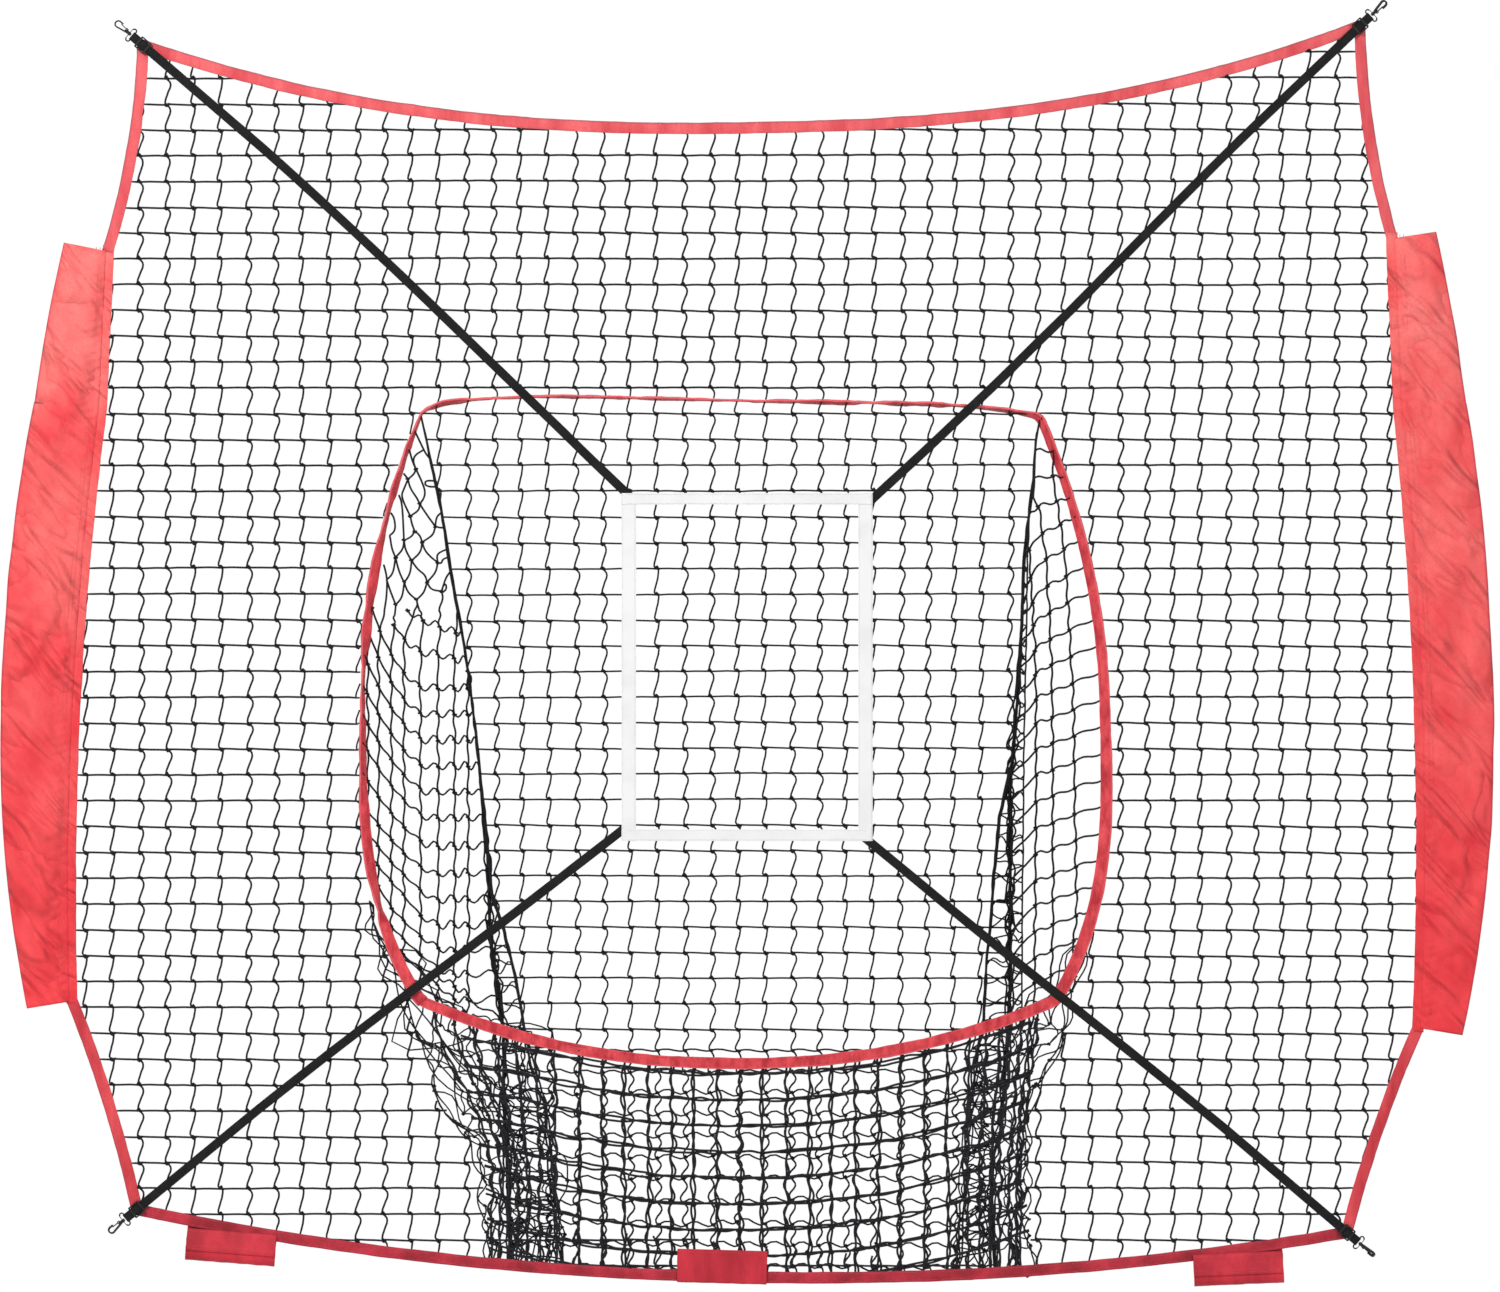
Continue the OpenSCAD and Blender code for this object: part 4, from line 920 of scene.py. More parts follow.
# The side nets as columns and rows. A column hangs at its own x, and a row runs from the rim
# back to the fold. Below the last row read, two more follow at about the same spacing.
LEFT_COLUMNS = read_x(331, 343, 355, 367.5, 378, 390.5, 403, 419, 436.4, 452.5, 466)
LEFT_RIM_ROWS = read_z(
    434, 453.4, 474.5, 496, 514, 531, 552, 575, 600, 627, 655, 685, 714.7, 742, 772.7, 806, 831,
    854, 878.6, 905, 930,
) + [556, 512]
LEFT_FOLD_ROWS = read_z(
    455, 490, 530, 565, 588, 611, 636, 662, 688.6, 715, 741.5, 768, 794, 820, 848, 876, 902, 928,
    953, 978, 1003,
) + [430, 388]
RIGHT_COLUMNS = [
    [(470, 1330), (484, 1257), (487, 1204), (494, 1105), (497, 995), (498, 790), (494, 400)],
    [(491, 1348), (501, 1325), (513, 1239), (521, 1110), (525, 997), (527, 641), (520, 400)],
    [(524, 1377), (531, 1340), (544, 1255), (554, 1110), (561, 977), (566, 641), (550, 440)],
]
# Above this height the left side net is drawn up out of order. Its cords were read one by one
# off an enlarged view, in steps to the right and down from the gusset's upper corner.
MESSY_Z = 1158.0
MESSY_STEP = 0.3646
MESSY_CORNER = (-717.1, 1464.3)
MESSY_CORDS = [
    [(375, 0), (408, 70), (428, 112), (447, 135)], [(352, 95), (366, 150), (382, 185)],
    [(415, 98), (378, 120), (369, 150), (382, 185)], [(382, 185), (376, 208), (345, 235)],
    [(325, 208), (336, 222), (345, 235)],
    [(382, 185), (408, 240), (427, 292), (420, 325), (400, 352)],
    [(345, 235), (355, 278), (388, 325), (400, 352)],
    [(345, 235), (322, 290), (315, 308), (322, 340), (355, 409)],
    [(427, 262), (425, 243), (455, 240), (482, 246)], [(427, 262), (445, 270), (478, 270)],
    [(400, 352), (396, 382), (355, 409)], [(400, 352), (432, 402), (472, 457)],
    [(472, 457), (478, 412), (500, 393)], [(472, 457), (490, 463), (516, 464)],
    [(355, 409), (362, 445), (375, 480)], [(375, 480), (400, 500), (410, 532)],
    [(375, 480), (362, 506), (325, 525)], [(472, 457), (464, 495), (433, 518), (410, 532)],
    [(410, 532), (422, 572), (455, 608), (483, 628)],
    [(483, 628), (500, 634), (506, 612), (538, 602)],
    [(483, 628), (478, 600), (488, 582), (532, 563)], [(410, 532), (404, 580), (360, 620)],
    [(325, 525), (332, 572), (360, 620)], [(325, 525), (321, 566), (285, 605)],
    [(360, 620), (354, 682), (325, 725)], [(360, 620), (388, 662), (424, 688), (432, 722)],
    [(483, 628), (474, 676), (432, 722)], [(432, 722), (450, 758), (500, 765)],
    [(500, 765), (508, 738), (520, 728), (524, 755), (506, 770)],
    [(500, 765), (520, 700), (545, 668)],
    [(325, 725), (342, 772), (382, 806)], [(432, 722), (418, 772), (382, 806)],
    [(265, 395), (281, 420), (286, 478), (258, 502)], [(302, 310), (318, 350), (325, 525)],
    [(258, 502), (262, 520), (268, 565), (285, 605)], [(285, 605), (274, 682), (243, 712)],
    [(285, 605), (300, 670), (325, 725)], [(230, 640), (246, 700), (243, 790), (232, 857)],
    [(243, 712), (262, 770), (285, 830)], [(325, 725), (316, 795), (285, 830)],
    [(382, 806), (390, 840), (396, 857)], [(382, 806), (388, 830), (372, 857)],
    [(285, 830), (283, 857), (280, 880)], [(500, 765), (508, 800), (490, 840), (488, 857)],
]


def column_x(k, z, side):
    """x of column k of a side net at height z."""
    z = np.asarray(z, float)
    if side > 0:
        return on_line(RIGHT_COLUMNS[k], z)
    lean = z - 1187.0
    return LEFT_COLUMNS[k] + 0.59 * np.where(lean > 0, lean, 0) + 9 * np.exp(-(lean / 70) ** 2)


def row_z(r, share, side, rim_rows, fold_rows):
    """Height of row r at a share of the way from the rim to the fold."""
    share = np.clip(share, 0, 1)
    if side > 0:
        slant = smooth((1400 - rim_rows[r]) / 170)
        return rim_rows[r] + slant * (35 - 61 * share - 28 * smooth((share - 0.72) / 0.28))
    early, late = share**1.2, 1 - np.maximum(0, 1 - share / 0.55) ** 1.5
    share = lerp(early, late, np.clip((r - 3) / 5, 0, 1) if r < 21 else 0.0)
    return lerp(rim_rows[r], fold_rows[r], share)


def side_share(x, z, side):
    """Where x lies at height z, from the front edge of a side net at 0 to the fold at 1."""
    return (x - outline_x(z, side)) / (fold_x(z, side) - outline_x(z, side))


def side_depth(x, z, side):
    """Depth of the side net where it shows at x and z."""
    share = np.clip(side_share(x, z, side), 0, 1)
    return lerp(NET_BACK_Y, back_y(z), share**0.85)


def under_rim(side):
    """The lower part of the rim on one side, from its side to under its middle."""
    half = RIM["rim_bottom"][np.sign(RIM["rim_bottom"][:, 0] - MOUTH_BOTTOM_X) == side]
    flank = mouth_side(side)
    return np.concatenate([flank[flank[:, 1] < GATHER_TOP], half])


def lattice(side, rng):
    """The orderly part of a side net, as cords and knots in the front view."""
    if side < 0:
        rim_rows, fold_rows, columns = LEFT_RIM_ROWS, LEFT_FOLD_ROWS, range(len(LEFT_COLUMNS))
    else:
        rim_rows = fold_rows = [1428 - 46.2 * k for k in range(25)]
        columns = range(len(RIGHT_COLUMNS))
    heights = np.linspace(1480, 300, 600)
    crossings = {}
    for r in range(len(rim_rows)):
        for k in columns:
            x = column_x(k, heights, side)
            share = side_share(x, heights, side)
            gap = heights - row_z(r, share, side, rim_rows, fold_rows)
            turns = np.nonzero((gap[:-1] > 0) & (gap[1:] <= 0))[0]
            if len(turns) and 0.015 < share[turns[0]] < 0.985:
                n = turns[0]
                crossings[r, k] = (x[n], heights[n], share[n])
    t = np.linspace(0, 1, 8)
    links = []
    for r in range(len(rim_rows)):
        stops = sorted(
            [crossings[r, k] for k in columns if (r, k) in crossings], key=lambda c: c[2]
        )
        ends = []
        for share in (0.0, 1.0):
            z = row_z(r, share, side, rim_rows, fold_rows)
            ends.append((float(lerp(outline_x(z, side), fold_x(z, side), share)), z, share))
        chain = [ends[0], *stops, ends[1]]
        for a, b in zip(chain, chain[1:]):
            z = row_z(r, lerp(a[2], b[2], t), side, rim_rows, fold_rows)
            z = z + lerp(a[1] - z[0], b[1] - z[-1], t)
            slack = rng.uniform(0.7, 1.2) * min(1.0, abs(b[0] - a[0]) / 18)
            if side < 0:
                flat = smooth((a[2] - 0.25) / 0.2)
                z = z - slack * (1.5 + 5.6 * flat) * np.sin(2 * math.pi * t) * (0.7 + 0.6 * t)
            else:
                z = z + slack * 3.2 * np.sin(2 * math.pi * (1 - t)) * (1.1 - 0.5 * (1 - t))
            if side > 0 or z.max() < MESSY_Z:
                links.append(np.stack([lerp(a[0], b[0], t), z], 1))
    messy_feet = np.array([
        (MESSY_CORNER[0] + MESSY_STEP * cord[-1][0], MESSY_CORNER[1] - MESSY_STEP * cord[-1][1])
        for cord in MESSY_CORDS if cord[-1][1] > 850
    ])
    for k in columns:
        held = sorted([crossings[r, k] for r in range(len(rim_rows)) if (r, k) in crossings],
                      key=lambda c: -c[1])
        if side < 0:
            held = [c for c in held if c[1] < MESSY_Z - 15]
        if not held:
            continue
        share = side_share(column_x(k, heights, side), heights, side)
        good = heights[(share > 0) & (share < 1)]
        top_z, foot_z = min(good.max(), held[0][1] + 60), good.min()
        top = (float(column_x(k, top_z, side)), top_z)
        if side < 0 and top_z > MESSY_Z - 10:
            foot = messy_feet[np.argmin(np.abs(messy_feet[:, 0] - column_x(k, MESSY_Z, side)))]
            top = tuple(foot) if abs(foot[0] - column_x(k, MESSY_Z, side)) < 20 else (
                float(column_x(k, MESSY_Z, side)), MESSY_Z
            )
        stops = [top, *[c[:2] for c in held], (float(column_x(k, foot_z, side)), foot_z)]
        for a, b in zip(stops, stops[1:]):
            if a[1] - b[1] < 4:
                continue
            z = lerp(a[1], b[1], t)
            x = column_x(k, z, side)
            x = x + lerp(a[0] - x[0], b[0] - x[-1], t)
            bend = rng.uniform(0.6, 1.4) * 1.6
            x = x + bend * np.sin(2 * math.pi * t) * (1 if rng.random() < 0.8 else -1)
            links.append(np.stack([x, z], 1))
    rim = under_rim(side)

    def keep(points):
        over = points[..., 1] > z_on(rim, points[..., 0]) - 4
        return over & (points[..., 1] < MESSY_Z + 2) if side < 0 else over

    spots = np.array([c[:2] for c in crossings.values()])
    return clip(np.array(links), keep), spots[keep(spots)]


def gathered(side, near, far, columns, rows, rng):
    """Slack net hung in gathers from under the rim to the hem, as cords and knots."""
    heights = np.linspace(GATHER_TOP, 0, 400)
    rim, hem = under_rim(side), HEM["bottom_hem"]
    knot = np.empty((rows + 1, columns + 1, 2))
    for k, share in enumerate(np.linspace(0, 1, columns + 1)):
        x = lerp(on_line(near, heights), on_line(far, heights), share)
        top = heights[np.argmax((heights < z_on(rim, x) + 3) & (heights < near[0][1]))]
        foot = heights[np.argmax(heights < z_on(hem, x) + 2)]
        z = lerp(top, foot, np.linspace(0, 1, rows + 1) ** 0.94)
        knot[:, k] = np.stack([lerp(on_line(near, z), on_line(far, z), share), z], 1)
    cell = np.abs(np.diff(knot, axis=1))[..., 0].mean(1)[:, None]
    knot[..., 0] += 0.34 * cell * rng.normal(0, 1, knot.shape[:2]).clip(-1.6, 1.6) * (
        np.arange(columns + 1) > 0
    )
    knot[1:-1, :, 1] += rng.normal(0, 5.5, (rows - 1, columns + 1)).clip(-9, 9)
    t = np.linspace(0, 1, 8)[:, None]
    links = []
    for a, b, down in ((knot[:-1], knot[1:], True), (knot[:, :-1], knot[:, 1:], False)):
        a, b = a.reshape(-1, 1, 2), b.reshape(-1, 1, 2)
        way = unit(b - a)
        out = np.stack([-way[..., 1], way[..., 0]], -1)
        length = np.linalg.norm(b - a, axis=-1)[..., None]
        wave = rng.normal(0, 0.11, length.shape) * np.sin(2 * math.pi * t)
        wave = wave + rng.normal(0, 0.13, length.shape) * np.sin(math.pi * t)
        links.append(lerp(a, b, t) + out * wave * length)
    return np.concatenate(links), knot[1:-1].reshape(-1, 2)


def ladder(a_line, b_line, top, foot, step, rng):
    """Short cords that cross between two lines, up and down by turns."""
    heights = np.arange(top, foot, -step)
    t = np.linspace(0, 1, 8)
    rungs = []
    for n, z in enumerate(heights):
        lean = (1 if n % 2 else -1) * rng.uniform(0.2, 1.3) * step
        a, b = float(a_line(z)), float(b_line(z - lean))
        x = lerp(a, b, t) + rng.normal(0, 1.0) * np.sin(math.pi * t)
        drop = rng.normal(0, 0.22) * step * np.sin(2 * math.pi * t)
        rungs.append(np.stack([x, lerp(z, z - lean, t) + drop], 1))
    return np.array(rungs)


def gusset(side, name):
    pile = Pile()
    rng = np.random.default_rng(50 + side)
    across = (1, 0.35 * side, 0.02)

    def hang(lines, lift=0.0, radius=CORD_R * (1 if side < 0 else 1.06)):
        pile.strands(
            depth(lines, side_depth(lines[..., 0], lines[..., 1], side) - lift), radius, across
        )

    def tie(spots, size, seed):
        centres = depth(spots, side_depth(spots[:, 0], spots[:, 1], side))
        knots(pile, centres, rng.random(len(spots)) < 0.5, np.full(len(spots), size), seed)

    cords, spots = lattice(side, rng)
    hang(cords)
    tie(spots, 0.75, 60 + side)
    if side < 0:
        messy = [
            np.array(MESSY_CORNER) + np.array(cord) * (MESSY_STEP, -MESSY_STEP)
            for cord in MESSY_CORDS
        ]
        hang(np.array([rounded(cord, 14) for cord in messy]))
        ends = np.concatenate([[cord[0], cord[-1]] for cord in messy])
        near = np.linalg.norm(ends[:, None] - ends, axis=-1) < 2
        first = np.argmax(near, axis=1) == np.arange(len(ends))
        tie(ends[first & (near.sum(1) > 2)], 0.7, 68)
    near, far = (BUNCH_LEFT, FAR_LEFT) if side < 0 else (BUNCH_RIGHT, FAR_RIGHT)
    for columns, rows in ((6, 12), (3, 8)):
        cords, spots = gathered(side, near, far, columns, rows, rng)
        hang(cords, 0.0, CORD_R * 0.8)
        tie(spots, 0.6, 62 + side + rows)
    # The fold, a doubled cord that closes up into a thick gather lower down
    heights = np.linspace(1490 if side < 0 else 1482, 12, 700)
    fold = np.stack([fold_x(heights, side), heights], 1)
    thick_z, full_z = (880, 640) if side < 0 else (1150, 900)
    pile.strands(
        cord_along(fold, back_y, (-1.0, 1.0), 61, 0.8, lambda z: smooth((1500 - z) / 120)),
        CORD_R, across,
    )
    lower = fold[heights < thick_z + 60]
    pile.strands(
        cord_along(
            lower, lambda z: back_y(z) - 2, (-5, -1.5, 1.5, 5), 63, 4.2,
            lambda z: 0.12 + 0.88 * smooth((thick_z - z) / (thick_z - full_z)),
        ),
        CORD_R, across,
    )
    # The second gather beside it, and the loose cords between the two
    beside = [p for p in far if p[1] < far[0][1] + 1]
    pile.strands(
        cord_along(
            beside, lambda z: back_y(z) - 5, (-4, 0, 4), 65, 3.4,
            lambda z: lerp(0.3, 1.0, smooth((450 - z) / 120)),
        ),
        CORD_R, across,
    )
    loops = [ladder(
        lambda z: fold_x(z, side), lambda z: on_line(far, z), far[0][1] - 20, 30, 18.0, rng
    )]
    if side > 0:
        rail = [
            (484, 1330), (481, 1236), (480, 1131), (479, 1026), (477, 900), (476, 640), (474, 430)
        ]
        loops.append(ladder(
            lambda z: fold_x(z, side), lambda z: on_line(rail, z), 1270, 440, 13.0, rng
        ))
        pile.strands(
            cord_along(rail, lambda z: back_y(z) - 3, (0.0,), 69, 0.8), CORD_R * 0.9, across
        )
    for lines in loops:
        pile.strands(depth(lines, back_y(lines[..., 1]) - 3), CORD_R * 0.9, (0.03, 1, 0.6))
    pile.build(name + ".cords", [TWINE], nodes=[name])


gusset(-1, "pocket_left_net")
gusset(1, "pocket_right_net")


# The apron under the mouth hangs from the rim's lower edge, doubled and gathered at both sides
apron = Pile()
rng = np.random.default_rng(70)
foot_x = np.concatenate([
    [-446, -432, -418, -403, -385, -363, -335], -295.5 + 39.74 * np.arange(17),
    [377, 397, 415, 432, 448, 460, 468],
])
head_x = np.concatenate([
    [-545, -512, -478, -440, -405, -370, -338], -295.5 + 39.74 * np.arange(17),
    [380, 408, 432, 452, 468, 482, 496],
])
APRON_ROWS = 8
APRON_ROW = 45.0
APRON_TOP = 18


def apron_column(k, t, seed):
    """Column k from the rim, at t = 0, down to the hem, at t = 1."""
    x = lerp(head_x[k], foot_x[k], smooth(t * 1.6))
    top = z_on(RIM["rim_bottom"], head_x[k])
    foot = z_on(HEM["bottom_hem"], foot_x[k])
    swing = np.sin(2 * math.pi * ((top - foot) / APRON_ROW * t + 0.37 * k))
    stray = 2.6 * noise(t * 11, k * 1.7, seed) + 1.7 * swing
    return x + stray * np.sin(math.pi * np.clip(t, 0, 1)) ** 0.4, lerp(top, foot, t)


t = np.linspace(0, 1, 70)
straight, loose = [], []
for k in range(len(foot_x)):
    x, z = apron_column(k, t, 71)
    straight.append(np.stack([x, z], 1))
    mesh_count = (z[0] - z[-1]) / APRON_ROW
    sway = np.sin(2 * math.pi * (t * mesh_count + 0.1 * rng.random()))
    gap = (2.4 + 3.4 * noise(t * 7, k * 2.9, 72)) * (1 if k % 3 else -1)
    loose.append(np.stack([x + gap + 2.8 * sway, z], 1))
for lines, y in ((np.array(straight), 0.9), (np.array(loose), 3.0)):
    apron.strands(depth(lines, y + 0.5 * noise(lines[..., 0] / 9, lines[..., 1] / 20, 73)),
                  CORD_R * 1.1, FRONT)
rows = []
for r in range(APRON_ROWS + 1):
    x = np.linspace(-500 + 6 * r, 486, 260)
    hang = z_on(RIM["rim_bottom"], np.clip(x, -560, 520)) - APRON_TOP - APRON_ROW * r
    hang = hang - 16 * smooth((-380 - x) / 120) * (r < 5)
    ok = (hang > z_on(HEM["bottom_hem"], x) + 4) & (x > outline_x(hang, -1)) & (
        x < outline_x(hang, 1)
    )
    x, hang = x[ok], hang[ok]
    if len(x) < 40:
        continue
    line = even(np.stack([x, hang], 1), 4.0)
    line = picked(line, np.linspace(0, len(line) - 1, 240))
    wide = 1.6 + 3.2 * smooth(np.abs(line[:, 0] - 60) / 420)
    for sign in (-1, 1):
        twine = sign * wide * (0.35 + noise(line[:, 0] / 46, r * 4.1 + sign * 0.2, 77))
        shift = twine + 2.0 * noise(line[:, 0] / 21, r * 3.3 + sign, 74)
        rows.append(np.stack([line[:, 0], line[:, 1] + shift], 1))
rows = np.array(rows)
apron.strands(depth(rows, 1.2 + 0.8 * noise(rows[..., 0] / 17, rows[..., 1] / 30, 75)),
              CORD_R * 1.1, FRONT)
spots = []
for k in range(len(foot_x)):
    x, z = apron_column(k, t, 71)
    for r in range(APRON_ROWS):
        goal = z_on(RIM["rim_bottom"], np.clip(x, -560, 520)) - APRON_TOP - APRON_ROW * r
        n = int(np.argmin(np.abs(z - goal)))
        if abs(z[n] - goal[n]) < 6 and z[n] > z_on(HEM["bottom_hem"], x[n]) + 8:
            spots.append((x[n], 0.5, z[n]))
spots = np.array(spots)
knots(apron, spots, rng.random(len(spots)) < 0.5, np.full(len(spots), 0.85), 76)
apron.build("front_net_apron.cords", [TWINE], nodes=["front_net_apron"])


# ---- Sewn tapes ----

HEM_WIDTH = 20
HEM_THICK = 3.8
RIM_WIDTH = 19
RIM_THICK = 3.7
END_OVER = 6.0


def stitches(pile, line, offset, y, paint=1, pitch=4.4, length=3.0, radius=0.3, curve=None):
    """A row of stitches at an offset to the left of a front-view line, on a face at y."""
    line = even(line, pitch)
    way, out = sideways(line)
    centres = line + out * np.broadcast_to(np.asarray(offset, float), len(line))[:, None]
    lift = -1 if y < 0 else 1
    steps = np.array([-0.5, 0.0, 0.5]) * length
    flat = centres[:, None] + way[:, None] * steps[:, None]
    y3 = y + lift * np.array([-0.1, 0.22, -0.1])
    if curve is not None:
        y3 = y3 + curve(line)[:, None]
    pile.strands(depth(flat, np.broadcast_to(y3, flat.shape[:2])), radius, FRONT, 4, paint)


def tape(name, line, width, thick, materials, seed, row=0.34, seen=None, crumple=0.3):
    """A folded tape along a front-view line, puckered by its stitches.

    Where seen gives less than its width, it turns on edge and lies back.
    """
    pile = Pile()
    line = even(line, 4.0)
    ends = [line[k] + unit(line[k] - line[j]) * END_OVER for k, j in ((0, 1), (-1, -2))]
    line = np.concatenate([ends[:1], line, ends[1:]])
    count = len(line)
    s = np.arange(count) * 4.0
    out = sideways(line)[1]
    widths, turn = np.full(count, float(width)), np.zeros(count)
    if seen is not None:
        shown = seen(line)
        widths = np.maximum(width, shown)
        turn = np.arccos(np.clip((shown - 3.0) / (widths - 3.0), 0, 1))
    path = depth(
        line + out * (0.5 * noise(s / 35, 0.5, seed))[:, None],
        0.3 * noise(s / 50, 1.5, seed) + 0.37 * widths * np.sin(turn),
    )
    sides = 20
    angle = (np.arange(sides) + 0.5) * 2 * math.pi / sides
    place = np.sign(np.cos(angle)) * np.abs(np.cos(angle)) ** 0.45
    front = np.sign(np.sin(angle))
    pucker = 0.3 + crumple * noise(s[:, None] / 9 + place * 0.6, front * 3.0 + 5, seed + 1)
    broad = noise(s[:, None] / 21 + place * 0.9, front * 3.0 + 9, seed + 2)
    pucker = pucker + 1.2 * crumple * broad
    groove = sum(0.38 * np.exp(-((place - 2 * row * sign) / 0.16) ** 2) for sign in (-1, 1))
    swell = front * np.maximum(pucker - groove, 0)
    widths = widths + (0.4 + crumple) * (noise(s / 28, 2.5, seed) + noise(s / 11, 3.5, seed))
    pile.ribbon(path, depth(out, 0.0), widths, thick, turn, swell, 0, sides)
    flat = np.flatnonzero(np.diff(np.concatenate([[0], turn < 0.45, [0]])))
    for start, stop in zip(flat[::2], flat[1::2]):
        for sign in (-1, 1):
            for face in (-1, 1):
                if stop - start > 5:
                    stitches(
                        pile, line[start:stop], sign * row * width, face * (thick / 2 - 0.25),
                        curve=lambda part, a=start, b=stop: np.interp(
                            np.linspace(a, b - 1, len(part)), np.arange(count), path[:, 1]
                        ),
                    )
    return pile.build(name + ".tape", materials, nodes=[name])


for number, (name, line) in enumerate(HEM.items()):
    made_of = {
        "bottom_hem": BOTTOM_TAPE, "left_hem_lower": LOW_TAPE, "right_hem_lower": LOW_TAPE,
        "left_sleeve_seam": SLEEVE_CLOTH, "right_sleeve_seam": SLEEVE_CLOTH,
    }
    tape(
        name, line, HEM_WIDTH, HEM_THICK, [made_of.get(name, HEM_TAPE), THREAD],
        80 + number, crumple=0.1 if name == "bottom_hem" else 0.3,
    )


# How wide the rim shows, as (height or x, width), read one by one
SHOWN_LEFT = [
    (1495, 5), (1464, 7), (1436, 11), (1420, 8), (1386, 11), (1356, 13), (1329, 8), (1308, 8),
    (1282, 10), (1256, 15), (1230, 17), (1196, 17.5), (1158, 12), (1118, 18.5), (1077, 12),
    (1054, 6.5), (1032, 6), (997, 8.7), (976, 7), (956, 12), (874, 11.5), (835, 14.5),
    (814, 18.5), (693, 18), (651, 11), (632, 9), (612, 18.5), (551, 22), (510, 22),
]
SHOWN_RIGHT = [(1500, 9), (1480, 14), (1300, 16), (1100, 18), (900, 20), (700, 22)]
SHOWN_TOP = [
    (-566, 5), (-547, 8), (-530, 10.5), (-500, 10), (-480, 5), (-440, 3.5), (-405, 5),
    (-362, 4), (-320, 7), (-254, 5), (-225, 7), (-207, 4), (-147, 7), (-86, 5), (-57, 4), (-17, 4),
    (22, 4.5), (52, 7.5), (81, 5), (126, 10), (168, 8), (195, 4), (216, 3), (254, 9.5), (282, 7),
    (334, 9), (351, 4.5), (397, 7), (444, 9), (461, 7), (479, 10), (496, 13),
]


def rim_seen(name):
    points = {"rim_top": SHOWN_TOP, "rim_left": SHOWN_LEFT, "rim_right": SHOWN_RIGHT}.get(name)
    if points is None:
        return lambda line: 19.5 + 1.5 * noise(line[:, 0] / 30, 0.5, 109)
    at, shown = np.array(sorted(points), float).T
    return lambda line: np.interp(line[:, 0 if name == "rim_top" else 1], at, shown)


for number, (name, line) in enumerate(RIM.items()):
    tape(
        name, line, RIM_WIDTH, RIM_THICK, [RIM_TAPE, DEEP_THREAD], 100 + number,
        0.3, rim_seen(name), 0.55,
    )


# ---- Pole sleeves ----

SLEEVE_NEAR = 4.0
SLEEVE_HALF = 13.0
SLEEVE_WALL = 0.9
SLEEVE_SEAMS = (14.5, 21.0)
# How far each end of a sleeve reaches past the seam's end, as (at the seam, at its outer edge),
# for the seam's first end and its last
SLEEVE_ENDS = {"left_sleeve": ((3, 13), (-4, 7)), "right_sleeve": ((-4, 4), (-1, 8))}


def ridged(u, v, seed):
    """Noise with sharp crests, as creases have."""
    return 1 - 2 * np.abs(noise(u, v, seed))


